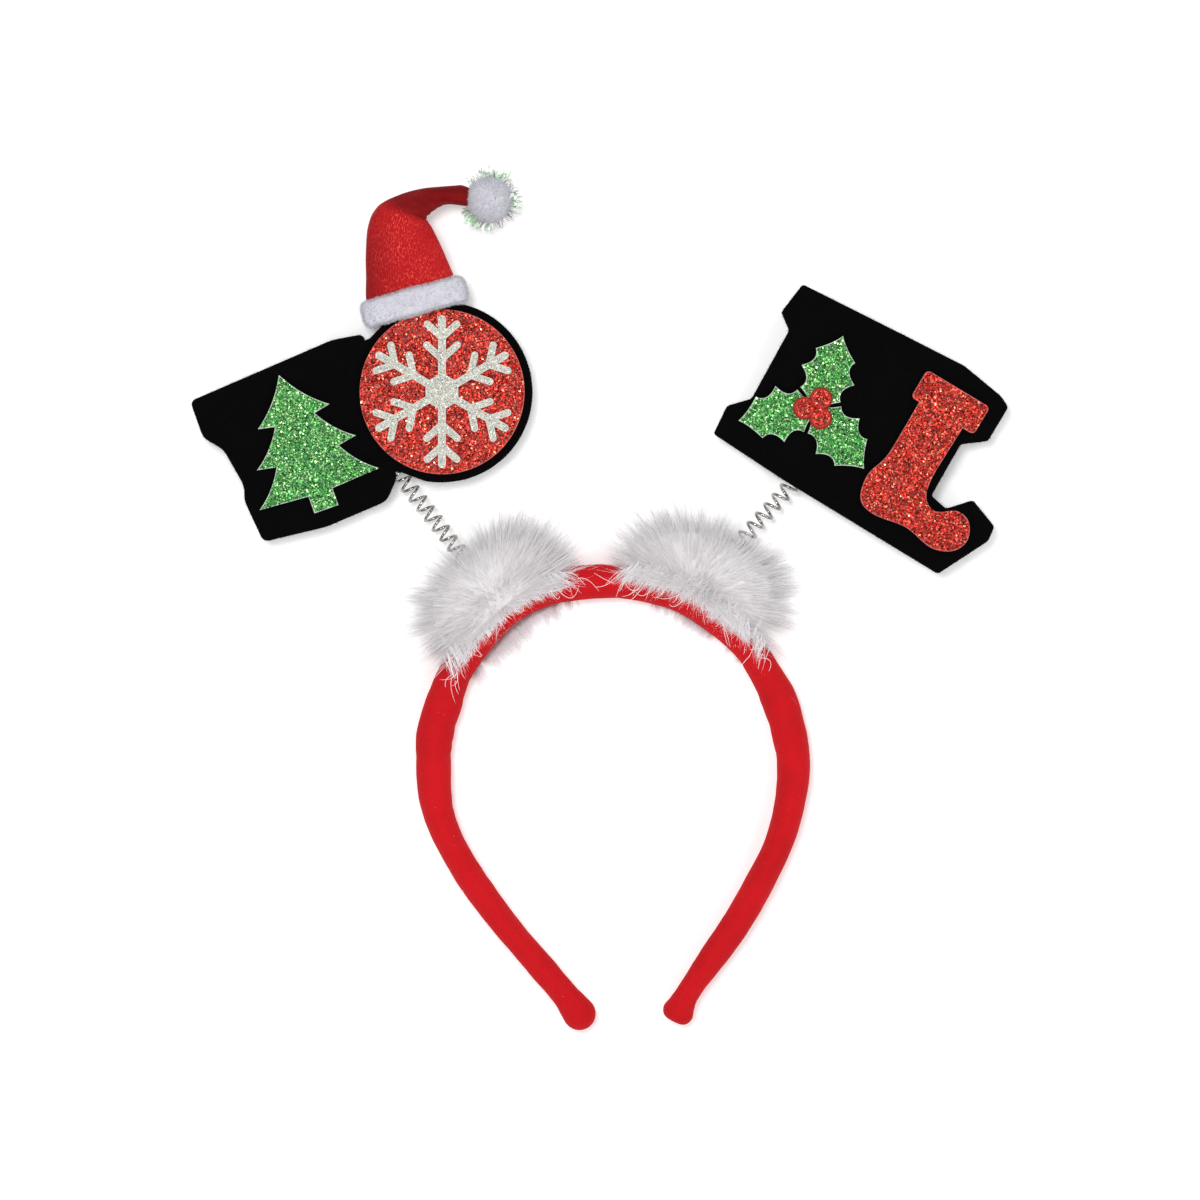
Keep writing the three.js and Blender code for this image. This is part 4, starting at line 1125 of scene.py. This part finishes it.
def spread_over(a, b, c, weight, number, rng):
    """Random points on triangles, drawn by weight: folded shares of two of their sides.

    Returns the points and the triangles on which they lie.
    """
    pick = rng.choice(len(a), number, p=weight / weight.sum())
    u, v = rng.random((2, number, 1))
    over = u + v > 1
    u, v = np.where(over, 1 - u, u), np.where(over, 1 - v, v)
    return a[pick] * (1 - u - v) + b[pick] * u + c[pick] * v, pick


def scatter(mesh, number, rng, edge_share=0.45):
    """Random points on a mesh and the normals there. The share given falls on its edges."""
    a, b, c = triangle_corners(mesh)
    cross = np.cross(b - a, c - a)
    area = np.linalg.norm(cross, axis=1)
    normal = cross / np.maximum(area, 1e-15)[:, None]
    flat = np.abs(normal[:, 2]) > 0.5
    weight = np.where(flat, area * (1 - edge_share) / area[flat].sum(),
                      area * edge_share / max(area[~flat].sum(), 1e-12))
    spots, pick = spread_over(a, b, c, weight, number, rng)
    return spots, normal[pick]


def outlines(node):
    """Loops of the front face of a node's plate, in order, and the heights of both faces."""
    co, corners = mesh_arrays(NODES[node].data)
    co = co.astype(float)
    _, first, same = np.unique(np.round(co / 2e-6), axis=0, return_index=True,
                               return_inverse=True)
    co, faces = co[first], same.ravel()[corners]
    top, bottom = co[:, 2].max(), co[:, 2].min()
    faces = faces[np.all(co[faces, 2] > top - 1e-5, axis=1)]
    edges = np.concatenate([faces[:, [0, 1]], faces[:, [1, 2]], faces[:, [2, 0]]])
    inner = set(map(tuple, edges[:, ::-1]))
    following = {a: b for a, b in map(tuple, edges) if (a, b) not in inner}
    loops = []
    while following:
        start, here = following.popitem()
        loop = [start]
        while here != start:
            loop.append(here)
            here = following.pop(here)
        loops.append(co[loop, :2])
    return loops, bottom, top


def smooth_loop(loop, parts=6):
    """Outline with its arcs made finer, and its corners and straight runs kept.

    A point is a corner where the line turns by more than 52 degrees outwards or 30 inwards.
    A run is straight where it is more than 2.2 times as long as a neighbour. On every other
    run the cubic that leaves along the mean direction at both ends takes the line's place.
    """
    most_out, most_in, much_longer, least_run = 52, 30, 2.2, 0.0008
    run = np.roll(loop, -1, axis=0) - loop
    size = np.linalg.norm(run, axis=1)
    way = run / size[:, None]
    before = np.roll(way, 1, axis=0)
    cross = before[:, 0] * way[:, 1] - before[:, 1] * way[:, 0]
    turn = np.degrees(np.arctan2(cross, (before * way).sum(axis=1)))
    corner = (turn > most_out) | (turn < -most_in)
    last, ahead = np.roll(size, 1), np.roll(size, -1)
    short = np.minimum(last, ahead)
    straight = (size > much_longer * short) & (size > least_run)
    held = np.roll(straight, 1)
    share = np.where(straight, 1.0, np.where(held, 0.0, last / (last + size)))[:, None]
    tangent = unit(before * (1 - share) + way * share)
    leave = np.where(corner[:, None], way, tangent)
    arrive = np.where(np.roll(corner, -1)[:, None], way, np.roll(tangent, -1, axis=0))
    t = (np.arange(parts) / parts)[None, :, None]
    a, b = loop[:, None], np.roll(loop, -1, axis=0)[:, None]
    m, n = (leave * size[:, None])[:, None], (arrive * size[:, None])[:, None]
    curve = (
        (2 * t**3 - 3 * t**2 + 1) * a + (t**3 - 2 * t**2 + t) * m
        + (3 * t**2 - 2 * t**3) * b + (t**3 - t**2) * n
    )
    bent = np.abs(turn) + np.abs(np.roll(turn, -1)) > 1.5
    keep = (t[0, :, 0][None] == 0) | (bent & ~straight)[:, None]
    return curve[keep]


def plate_piece(name, node, edge, swell=0.0):
    """Plate on a node's outlines whose front edge is rounded by a quarter circle.

    The rounding has the given radius. Swell moves the foot of the wall outwards. Returns the
    piece, and for each of its triangles whether it lies on the front face.
    """
    loops, bottom, top = outlines(node)
    arc = np.linspace(0, np.pi / 2, 5)
    outset = np.concatenate([[swell - edge * 0.4, swell], -edge * (1 - np.cos(arc))])
    rise = np.concatenate([[bottom, bottom + edge * 0.4], top - edge * (1 - np.sin(arc))])
    points, faces, caps, base = [], [], [], 0
    for loop in map(smooth_loop, loops):
        total = len(loop)
        way = unit(np.roll(loop, -1, axis=0) - loop)
        out = np.stack([way[:, 1], -way[:, 0]], axis=1)
        mitre = unit(out + np.roll(out, 1, axis=0))
        reach = 1 / np.maximum((mitre * out).sum(axis=1), 0.55)
        rings = loop[None] + mitre[None] * (reach[None] * outset[:, None])[..., None]
        level = np.broadcast_to(rise[:, None, None], (len(rise), total, 1))
        points.append(np.concatenate([rings, level], axis=2).reshape(-1, 3))
        wall, _, _ = tube_faces(len(rise), total)
        faces.append(wall[:2 * (len(rise) - 1) * total] + base)
        for row, flip in ((0, True), (len(rise) - 1, False)):
            ring = [Vector((*place, 0)) for place in rings[row]]
            fan = np.array(tessellate_polygon([ring]))
            ring_way = np.cross(rings[row][fan[:, 1]] - rings[row][fan[:, 0]],
                                rings[row][fan[:, 2]] - rings[row][fan[:, 0]])
            turned = (ring_way < 0) != flip
            fan[turned] = fan[turned][:, ::-1]
            caps.append((fan + base + row * total, flip))
        base += len(rise) * total
    front = np.concatenate([fan for fan, back in caps if not back])
    rest = [fan for fan, back in caps if back]
    triangles = np.concatenate(faces + rest + [front])
    piece = new_piece(name, np.concatenate(points), triangles)
    flat = np.arange(len(triangles)) >= sum(map(len, faces))
    cover = np.arange(len(triangles)) >= len(triangles) - len(front)
    piece.data.polygons.foreach_set("use_smooth", ~flat)
    return piece, cover


class HEADBAND_OT_boards(bpy.types.Operator):
    """Adds the two felt boards with their fibres"""
    bl_idname = "headband.boards"
    bl_label = "Felt boards"

    def execute(self, context):
        finish = felt_finish()
        for seed, side in enumerate(("left", "right"), start=31):
            node = side + "_felt_board"
            plate, _ = plate_piece(side + "_felt", node, sizes("sign").felt_edge)
            dress(plate, side + "_sign", "black_felt", finish)
            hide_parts(node)
            felt_lint(node, side + "_sign", finish, seed)
        return {"FINISHED"}


def foam_finish(name, tint):
    """The foam's cut edge: pale, with a breath of the glitter's colour and fine pores."""
    finish = Finish(name)
    pores = finish.noise(0.0003, detail=2)
    base = finish.mix(pores.span(0.4, 0.7) * 0.5, tint, shade(tint, 0.7))
    return finish.surface(Base_Color=base, Roughness=0.8, Normal=finish.bump(pores, 0.00005, 0.6))


def bed_finish(name, tint):
    """The printed bed under the flakes, with small flakes of its own as round cells."""
    finish = Finish(name)
    inputs = {"Vector": finish.place(), "Scale": 1 / 0.0004}
    cell = finish.node("ShaderNodeTexVoronoi", {"feature": "F1"}, inputs, output=1)
    level = finish.node("ShaderNodeSeparateColor", None, {0: cell})
    stops = [(0.0, shade(tint, 0.08)), (0.6, shade(tint, 0.3)), (1.0, shade(tint, 0.8))]
    return finish.surface(Base_Color=finish.ramp(level, stops), Roughness=0.45, Metallic=0.3)


def flake_finish(name, stops, metal):
    """Glitter flakes: small metal mirrors whose tint goes by each flake's tone, partly painted
    shade and glints.
    """
    finish = Finish(name)
    base = finish.ramp(finish.attribute("tone"), stops)
    return finish.surface(Base_Color=base, Metallic=metal, Roughness=0.3)


def flakes(name, spots, half, rng):
    """Six-sided flakes at the spots given, each tipped at random.

    A flake is a hexagon in the plane across its own normal, and floats up to a fifth of a
    millimetre above the face. Its tone is one random number.
    """
    total = len(spots)
    normal = unit(np.concatenate([rng.normal(0, 0.34, (total, 2)), np.ones((total, 1))], 1))
    first = unit(np.cross(normal, unit(rng.normal(size=(total, 3)))))
    second = np.cross(normal, first)
    turn = circle(6)[:, None]
    size = (half * rng.uniform(0.65, 1.25, total))[:, None, None]
    rim = first[:, None] * np.cos(turn) + second[:, None] * np.sin(turn)
    lift = rng.uniform(0.00004, 0.0002, total)[:, None, None] * UP
    points = spots[:, None] + lift + rim * size
    fan = np.array([[0, 1, 2], [0, 2, 3], [0, 3, 4], [0, 4, 5]])
    faces = (np.arange(total) * 6)[:, None, None] + fan
    tones = np.repeat(rng.random(total), 6)
    return new_piece(name, points, faces, tones=tones, smooth=False)


def glitter_piece(node, body, slot, tint, stops, seed, pale=0.7, fine=1.0, swell=0.0):
    """A foam shape: rounded plate with a pale cut edge, a printed bed and loose flakes."""
    sign = sizes("sign")
    plate, front = plate_piece(node + "_foam", node, sign.foam_edge, swell)
    bed = bed_finish(slot + " bed", tint)
    edge = foam_finish(slot + " foam", tuple(
        pale * light + (1 - pale) * part for light, part in zip(sign.foam, tint)))
    dress(plate, body, slot, bed, edge)
    plate.data.polygons.foreach_set("material_index", np.where(front, 0, 1).astype(np.int32))
    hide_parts(node)
    rng = np.random.default_rng(seed)
    a, b, c = triangle_corners(plate.data, front)
    area = np.linalg.norm(np.cross(b - a, c - a), axis=1) / 2
    number = int(area.sum() / MM**2 * sign.flakes / fine**2)
    spots, _ = spread_over(a, b, c, area, number, rng)
    loose = flakes(node + "_flakes", spots, sign.flake * fine, rng)
    metal = {"pearl_glitter": 0.15, "red_glitter": 0.88}.get(slot, 0.72)
    dress(loose, body, slot, flake_finish(slot + " flakes", stops, metal))


class HEADBAND_OT_glitter(bpy.types.Operator):
    """Adds the glitter foam shapes on both signs"""
    bl_idname = "headband.glitter"
    bl_label = "Glitter shapes"

    def execute(self, context):
        sign = sizes("sign")
        green, red, pearl = sign.green[:], sign.red[:], sign.pearl[:]
        # Each table runs at random from dark to near-white tints: partly the flakes' own mix,
        # partly painted shade at the dark end and painted glints at the light end.
        green_stops = [
            (0.0, shade(green, 0.1)), (0.25, shade(green, 0.32)), (0.5, shade(green, 0.8)),
            (0.72, (0.12, 0.52, 0.11)), (0.86, (0.36, 0.82, 0.26)), (1.0, (0.74, 1.0, 0.5)),
        ]
        red_stops = [
            (0.0, shade(red, 0.1)), (0.25, shade(red, 0.3)), (0.5, shade(red, 0.8)),
            (0.72, (0.9, 0.035, 0.02)), (0.86, (1.0, 0.11, 0.06)), (1.0, (1.0, 0.34, 0.22)),
        ]
        pearl_stops = [
            (0.0, shade(pearl, 0.86)), (0.4, pearl), (0.65, shade(pearl, 1.05)),
            (0.8, (0.62, 0.74, 0.62)), (0.9, (0.84, 0.74, 0.70)), (1.0, (0.98, 0.97, 0.9)),
        ]
        swell = 0.00085  # the berries' foot is this much wider than their top
        # Node, body, slot, tint, stops, pale share of the edge, size of the flakes and swell
        rows = [
            ("fir_tree", "left_sign", "green_glitter", green, green_stops, 0.8, 1.0, 0),
            ("bauble_disc", "left_sign", "red_glitter", red, red_stops, 0.12, 1.0, 0),
            ("snowflake", "left_sign", "pearl_glitter", pearl, pearl_stops, 0.9, 0.75, 0),
            ("holly_leaves", "right_sign", "green_glitter", green, green_stops, 0.8, 1.0, 0),
            ("holly_berries", "right_sign", "red_glitter", red, red_stops, 0.0, 0.85, swell),
            ("stocking", "right_sign", "red_glitter", red, red_stops, 0.15, 1.0, 0),
        ]
        for seed, (node, body, slot, tint, stops, *rest) in enumerate(rows, start=41):
            glitter_piece(node, body, slot, tint, stops, seed, *rest)
        return {"FINISHED"}


# The small hat

def tilted(angle):
    """The directions across and up in the signs' plane, turned by an angle, as rows."""
    c, s = math.cos(angle), math.sin(angle)
    return np.array([[c, s, 0], [-s, c, 0]])


def hat_frame():
    """The brim's centre and the hat's directions, as rows: across, up the hat and to the front."""
    hat = sizes("hat")
    across, upward = tilted(hat.tilt + SIGN_LEAN)
    low, high = np.array(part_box("bauble_disc"))
    place = (low + high) / 2 + across * hat.shift + upward * hat.seat
    low, high = np.array(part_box("hat_brim"))
    place[2] = (low[2] + high[2]) / 2
    return place, np.vstack([tilted(hat.tilt), UP])


def hat_tip():
    """Middle of the cloth's last section, in the hat's own frame."""
    hat = sizes("hat")
    return np.array([0.825 * hat.cone_width, 0.85 * hat.cone_height, 0])


def squared_off(wave, power=0.8):
    """A sine or cosine to a power below 1, with its sign kept."""
    return np.sign(wave) * np.abs(wave) ** power


def oval(turn, wide, deep):
    """Points of an oval, squared off."""
    return np.stack([wide * squared_off(np.cos(turn)), -deep * squared_off(np.sin(turn))],
                    axis=-1)


def hat_cloth_finish():
    """Shiny red stretch cloth: ribs, painted glints along them, and painted shade on the bend and
    left side.
    """
    hat = sizes("hat")
    finish = Finish("red satin")
    # The tone is painted shade: near 1 where the cloth is drawn dark, 0 where it is drawn lit.
    fold = finish.attribute("tone")
    rib = finish.ribs(1, 0.00075)
    inputs = {"Vector": finish.surface_place(), "Scale": (0.3, 1, 1)}
    drawn = finish.node("ShaderNodeMapping", None, inputs)
    grain = finish.noise(0.0005, detail=4, roughness=0.7, where=drawn)
    fleck = finish.noise(0.0004, detail=2, roughness=0.6, where=drawn).span(0.5, 0.72)
    patch = finish.noise(0.009, detail=3).span(0.36, 0.64)
    # Painted glints: bright orange flecks on the lit cloth, none where the painted shade lies. The
    # flecks' lower roughness is real.
    painted_glints = fleck * (patch * 0.7 + 0.3) * (1 - fold)
    # The painted shade darkens the red to a third.
    deep = finish.mix(fold, hat.red[:], shade(hat.red, 0.34))
    ribbed = finish.mix(rib * 0.28, deep, shade(hat.red, 0.42))
    base = finish.mix(painted_glints * 0.95, ribbed, (1.0, 0.1, 0.06))
    height = rib * 0.5 + grain
    return finish.surface(
        Base_Color=base, Roughness=0.6 - fleck * 0.2, Specular_IOR_Level=0.1,
        Normal=finish.bump(height, 0.00018, 0.8),
    )


def cone_rings(sides=96, steps=190):
    """The hat's cloth: ovals along its bent middle line, with folds across the bend.

    Each fold is a trough that is deepest on the bend's inner side. Soft waves run up the cloth.
    """
    hat = sizes("hat")
    last = len(HAT_SECTIONS) - 1
    places = np.linspace(0.35, last, steps)
    rows = spline(HAT_SECTIONS, places)
    place, basis = hat_frame()
    lean = np.radians(rows[:, 4])
    turn = circle(sides)
    shape = oval(turn, rows[:, 2:3] * hat.cone_width / 2, rows[:, 3:4] * hat.cone_depth / 2)
    inner = 0.5 + 0.5 * np.cos(turn)
    relief = np.zeros((steps, sides))
    # Place along the middle line and depth of each fold
    folds = ((4.1, 0.5), (4.75, 0.9), (5.4, 1.0), (6.1, 0.8), (6.9, 0.6), (7.6, 0.4))
    for spot, weight in folds:
        shift = places[:, None] - spot - 0.2 * np.sin(turn)
        relief -= weight * np.exp(-(shift / 0.17) ** 2) * (0.15 + inner)
    relief += 0.5 * np.sin(3 * turn + 0.9 * places[:, None])
    relief += 0.35 * np.sin(5 * turn - 1.7 * places[:, None] + 1.0)
    fade = np.clip((places - 0.9) / 1.2, 0, 1)[:, None]
    swell = 1 + relief * fade * 0.035
    across = np.stack([np.cos(lean), np.sin(lean)], axis=1)
    flat = shape[..., :1] * swell[..., None] * across[:, None]
    centre = rows[:, :2] * np.array([hat.cone_width, hat.cone_height])
    local = np.concatenate([centre[:, None] + flat, shape[..., 1:] * swell[..., None]], axis=2)
    rings = place + local @ basis
    tip = rings[-1].mean(axis=0)
    into = unit(pompom_centre() - tip) * 0.003
    sewn = np.linspace(0, 1, 8)[1:, None, None]
    gathered = tip + (rings[-1] - tip) * (1 - 0.15 * sewn**2) + into * sewn
    # Tones for painted shade: dark over the bent part past the elbow, varying a little with the
    # folds, and darker down the left side below the bend.
    bend = np.clip((places[:, None] - 4.55 + 0.5 * np.cos(turn)) / 0.7, 0, 1)
    left = np.clip(-np.cos(turn) * 1.2, 0, 1) * np.clip((5 - places[:, None]) / 2, 0, 1)
    tones = np.clip(bend * (0.88 + 0.12 * relief) + left * 0.62, 0, 1)
    tones = np.concatenate([tones, np.repeat(tones[-1:], len(gathered), axis=0)])
    return np.concatenate([rings, gathered]), tones


class HEADBAND_OT_hat(bpy.types.Operator):
    """Adds the small hat: its cloth, its plush brim and the pompom with tinsel"""
    bl_idname = "headband.hat"
    bl_label = "Small hat"

    def execute(self, context):
        plush = self.plush_finish()
        self.cloth()
        self.brim(plush)
        self.pompom(plush)
        self.tinsel()
        return {"FINISHED"}

    @staticmethod
    def plush_finish():
        """Short plush pile, cool white, darker where its tone is low: painted shade between the
        fibres.
        """
        hat = sizes("hat")
        finish = Finish("white plush")
        tone = finish.attribute("tone")
        base = finish.mix(tone, shade(hat.plush, 0.6), hat.plush[:])
        return finish.surface(
            Base_Color=base, Roughness=0.85, Specular_IOR_Level=0.2,
            Subsurface_Weight=0.2, Subsurface_Radius=(0.002, 0.002, 0.0025),
            Subsurface_Scale=1.0,
        )

    @staticmethod
    def cloth():
        """The cone of cloth, closed at its tip, with a cloth wall inside its open base."""
        hat = sizes("hat")
        lined_rows, lining_size = 60, 0.86
        outside, tones = cone_rings()
        middle = outside.mean(axis=1, keepdims=True)
        inside = middle + (outside - middle) * lining_size
        rings = np.concatenate([inside[:lined_rows][::-1], outside])
        along = run_length(rings.mean(axis=1))
        tones = np.concatenate([tones[:lined_rows][::-1], tones])
        piece = tube_piece("hat_cloth", rings, along, hat.cone_width * 2.3, tones)
        dress(piece, "left_sign", "red_satin", hat_cloth_finish())
        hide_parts("hat_cone")

    @staticmethod
    def brim(finish):
        """A soft ring of plush: an oval loop with a round section, under short pile."""
        hat = sizes("hat")
        place, basis = hat_frame()
        low, high = np.array(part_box("hat_brim"))
        deep = (high[2] - low[2]) / 2
        wall = 0.003
        rows, sides = 150, 28
        around, section = circle(rows), circle(sides)
        wide = hat.brim_length / 2 - wall
        loop = oval(around, wide, deep - wall)
        out = unit(np.stack([np.cos(around) / wide, -np.sin(around) / (deep - wall)], axis=1))
        rise = hat.brim_height / 2
        lumps = 1 + 0.05 * np.sin(7 * around + 0.5) * np.sin(3 * around)
        spread = squared_off(np.cos(section)) * wall * 0.82
        local = np.empty((rows, sides, 3))
        local[..., 0] = loop[:, None, 0] + out[:, None, 0] * spread
        local[..., 2] = loop[:, None, 1] + out[:, None, 1] * spread
        local[..., 1] = rise * 0.9 * lumps[:, None] * squared_off(np.sin(section), 0.6)
        points = (place + local @ basis).reshape(-1, 3)
        a = np.arange(rows * sides).reshape(rows, sides)
        b, d = np.roll(a, -1, axis=1), np.roll(a, -1, axis=0)
        c = np.roll(b, -1, axis=0)
        faces = np.stack([[a, b, c], [a, c, d]]).transpose(0, 2, 3, 1).reshape(-1, 3)
        # The core's low tone is painted shade under the pile.
        piece = new_piece("hat_brim_core", points, faces, tones=np.full(len(points), 0.45))
        fix_normals(piece)
        dress(piece, "left_sign", "white_plush", finish)
        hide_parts("hat_brim")
        rng = np.random.default_rng(51)
        spots, normals = scatter(piece.data, 15000, rng, edge_share=0.5)
        fuzz("hat_brim_pile", spots, normals, 0.0013, 0.00014, rng, finish, (0.3, 0.6))

    @staticmethod
    def pompom(finish):
        """A ball under pile that stands straight out."""
        hat = sizes("hat")
        centre = pompom_centre()
        rng = np.random.default_rng(52)
        core = centre + ball(25, 48) * hat.pompom * 0.97
        # The core's low tone is painted shade under the pile.
        piece = tube_piece("hat_pompom_core", core, np.linspace(0, 0.02, len(core)), 0.05,
                           np.full(core.shape[:2], 0.4))
        dress(piece, "left_sign", "white_plush", finish)
        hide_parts("hat_pompom")
        ways = unit(rng.normal(size=(13000, 3)))
        spots = centre + ways * hat.pompom * 0.95
        fuzz("hat_pompom_pile", spots, ways, 0.0011, 0.00014, rng, finish, (0.25, 0.7))

    @staticmethod
    def tinsel():
        """Curled strips of iridescent film and thin dark threads that cross the pompom."""
        hat = sizes("hat")
        centre = pompom_centre()
        rng = np.random.default_rng(53)
        number, bunch_count, film_share = hat.tinsel, 15, 0.5
        film = rng.random(number) < film_share
        bunches = unit(rng.normal(size=(bunch_count, 3)) * np.array([1, 1, 0.2]) - UP * 0.15)
        loose = unit(rng.normal(size=(number, 3)) * np.array([1, 1, 0.18]) - UP * 0.12)
        bunched = bunches[rng.integers(0, bunch_count, number)]
        bunched = bunched + rng.normal(0, 0.13, (number, 3))
        ways = np.where(film[:, None], unit(bunched), loose)
        place, basis = hat_frame()
        tip = place + hat_tip() @ basis
        clear = ways @ unit(tip - centre) < 0.82
        ways, film = ways[clear], film[clear]
        number = len(ways)
        roots = centre + ways * hat.pompom * 0.9
        reach = rng.uniform(0.0102, 0.0124, (number, 1))
        tips = centre + ways * reach + rng.normal(0, 0.0009, (number, 3))
        keep_over(tips, 0.0008)
        bow = rng.normal(0, 0.0012, (number, 3))
        facing = unit(rng.normal(size=(number, 3)) + ways * 0.2)
        film_width, thread_width = 0.00115, 0.00028
        width = np.where(film, film_width, thread_width)
        points, faces, per = strands(roots, tips, bow, width, facing, segments=7, taper=0.12)
        keep_over(points)
        tones = np.repeat(np.where(film, rng.uniform(0.25, 0.8, number),
                                   rng.choice([0.0, 1.0], number)), per)
        piece = new_piece("hat_tinsel", points, faces, tones=tones, smooth=False)
        finish = Finish("tinsel film")
        stops = [
            (0.0, (0.2, 0.18, 0.19)), (0.25, (0.55, 0.85, 0.5)), (0.45, (0.85, 1.0, 0.82)),
            (0.62, (0.95, 0.96, 0.97)), (0.8, (0.55, 0.8, 0.62)), (1.0, (0.5, 0.46, 0.5)),
        ]
        base = finish.ramp(finish.attribute("tone"), stops)
        material = finish.surface(Base_Color=base, Metallic=0.35, Roughness=0.25)
        dress(piece, "left_sign", "white_plush", material)


def pompom_centre():
    """Middle of the pompom's solid, from the hat's frame: its box is lopsided by its tinsel."""
    hat = sizes("hat")
    place, basis = hat_frame()
    bearing, gap = math.radians(-25), 0.0003
    seat = (hat.pompom + gap) / math.cos(bearing)
    return place + (hat_tip() + seat * tilted(bearing)[0]) @ basis


def fuzz(name, spots, normals, height, width, rng, finish, tone_span):
    """Pile on a surface: short ribbons that leave along the normals and bend over."""
    number = len(spots)
    ways = unit(normals + rng.normal(0, 0.4, (number, 3)))
    tall = height * rng.uniform(0.6, 1.1, (number, 1))
    tips = spots + ways * tall
    bow = rng.normal(0, height * 0.16, (number, 3))
    facing = unit(UP * 0.8 + rng.normal(0, 0.7, (number, 3)))
    points, faces, per = strands(spots, tips, bow, width, facing, segments=3, taper=0.6)
    # Tones rise from root to tip: painted shade deep in the pile.
    rise = along_strand(per, *tone_span)
    tones = np.tile(rise, number) * np.repeat(rng.uniform(0.85, 1, number), per)
    piece = new_piece(name, points, faces, tones=tones)
    dress(piece, "left_sign", "white_plush", finish)


def fix_normals(piece):
    """Turns a closed mesh's faces outwards."""
    work = bmesh.new()
    work.from_mesh(piece.data)
    bmesh.ops.recalc_face_normals(work, faces=work.faces)
    work.to_mesh(piece.data)
    work.free()


# The stage

class HEADBAND_OT_stage(bpy.types.Operator):
    """Adds the floor, the lights and the camera that looks straight down"""
    bl_idname = "headband.stage"
    bl_label = "Floor, lights and camera"

    def execute(self, context):
        self.floor()
        self.lights(context)
        self.camera(context)
        return {"FINISHED"}

    @staticmethod
    def floor():
        """A wide pale sheet just under the object."""
        stage = sizes("stage")
        reach = 4.0
        corners = [(-reach, -reach, 0), (reach, -reach, 0), (reach, reach, 0), (-reach, reach, 0)]
        mesh = bpy.data.meshes.new("floor")
        mesh.from_pydata(corners, [], [(0, 1, 2, 3)])
        floor = add_object("floor", mesh)
        finish = Finish("pale floor")
        mesh.materials.append(finish.surface(
            Base_Color=(*stage.floor, 1), Roughness=0.9, Emission_Color=(1, 1, 1, 1),
            Emission_Strength=0.2,
        ))

    @staticmethod
    def lights(context):
        """A key from the upper left, wide fills, and small lamps for the flakes' sparkle."""
        world = bpy.data.worlds.new("soft sky")
        world.use_nodes = True
        sky = world.node_tree.nodes["Background"]
        sky.inputs["Color"].default_value = (1, 1, 1, 1)
        sky.inputs["Strength"].default_value = 0.45
        context.scene.world = world
        context.scene.view_settings.view_transform = "Standard"
        # Name, place, width in metres and power in watts
        rows = [
            ("key", (-0.24, 0.27, 1.65), 0.4, 14.0),
            ("fill", (1.1, -0.5, 1.3), 1.0, 5.2),
            ("front", (0.1, -1.3, 1.0), 0.8, 3.6),
            ("glint left", (-0.9, -0.3, 0.9), 0.08, 1.4),
            ("glint right", (0.7, 0.8, 0.8), 0.08, 1.4),
        ]
        for name, place, size, power in rows:
            light = bpy.data.lights.new(name, "AREA")
            light.size = size
            light.energy = power
            lamp = add_object(name, light)
            lamp.location = place
            lamp.rotation_euler = (-Vector(place)).to_track_quat("-Z", "Y").to_euler()

    @staticmethod
    def camera(context):
        """A long lens straight above, whose picture is as wide as the view at the signs."""
        stage = sizes("stage")
        signs_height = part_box("left_felt_board")[1][2]
        data = bpy.data.cameras.new("camera")
        data.sensor_width = 36
        distance = stage.camera_height - signs_height
        data.lens = data.sensor_width * distance / stage.view_width
        data.clip_end = 20
        camera = add_object("camera", data)
        camera.location = (0.00015, 0.00001, stage.camera_height)
        context.scene.camera = camera


# Registration

OPERATORS = (
    HEADBAND_OT_stage, HEADBAND_OT_band, HEADBAND_OT_springs, HEADBAND_OT_tufts,
    HEADBAND_OT_boards, HEADBAND_OT_glitter, HEADBAND_OT_hat,
)
SETTINGS = {
    "band": BandSettings, "spring": SpringSettings, "fur": FurSettings,
    "sign": SignSettings, "hat": HatSettings, "stage": StageSettings,
}


class HEADBAND_PT_panel(bpy.types.Panel):
    """Lists the pieces and their sizes in the sidebar"""
    bl_label = "Headband"
    bl_space_type = "VIEW_3D"
    bl_region_type = "UI"
    bl_category = "Headband"

    def draw(self, context):
        for operator in OPERATORS:
            self.layout.operator(operator.bl_idname)
        for group, kind in SETTINGS.items():
            box = self.layout.box()
            box.label(text=kind.__doc__)
            for name in kind.__annotations__:
                box.prop(sizes(group), name)


def register():
    """Registers the settings, the operators and the panel."""
    for group, kind in SETTINGS.items():
        bpy.utils.register_class(kind)
        setattr(bpy.types.Scene, "headband_" + group, PointerProperty(type=kind))
    for operator in OPERATORS:
        bpy.utils.register_class(operator)
    bpy.utils.register_class(HEADBAND_PT_panel)


def unregister():
    """Removes what register added."""
    bpy.utils.unregister_class(HEADBAND_PT_panel)
    for operator in reversed(OPERATORS):
        bpy.utils.unregister_class(operator)
    for group, kind in reversed(SETTINGS.items()):
        delattr(bpy.types.Scene, "headband_" + group)
        bpy.utils.unregister_class(kind)


def main():
    """Registers the add-on, then adds every piece in order."""
    register()
    for operator in OPERATORS:
        group, name = operator.bl_idname.split(".")
        getattr(getattr(bpy.ops, group), name)()


if __name__ == "__main__":
    main()
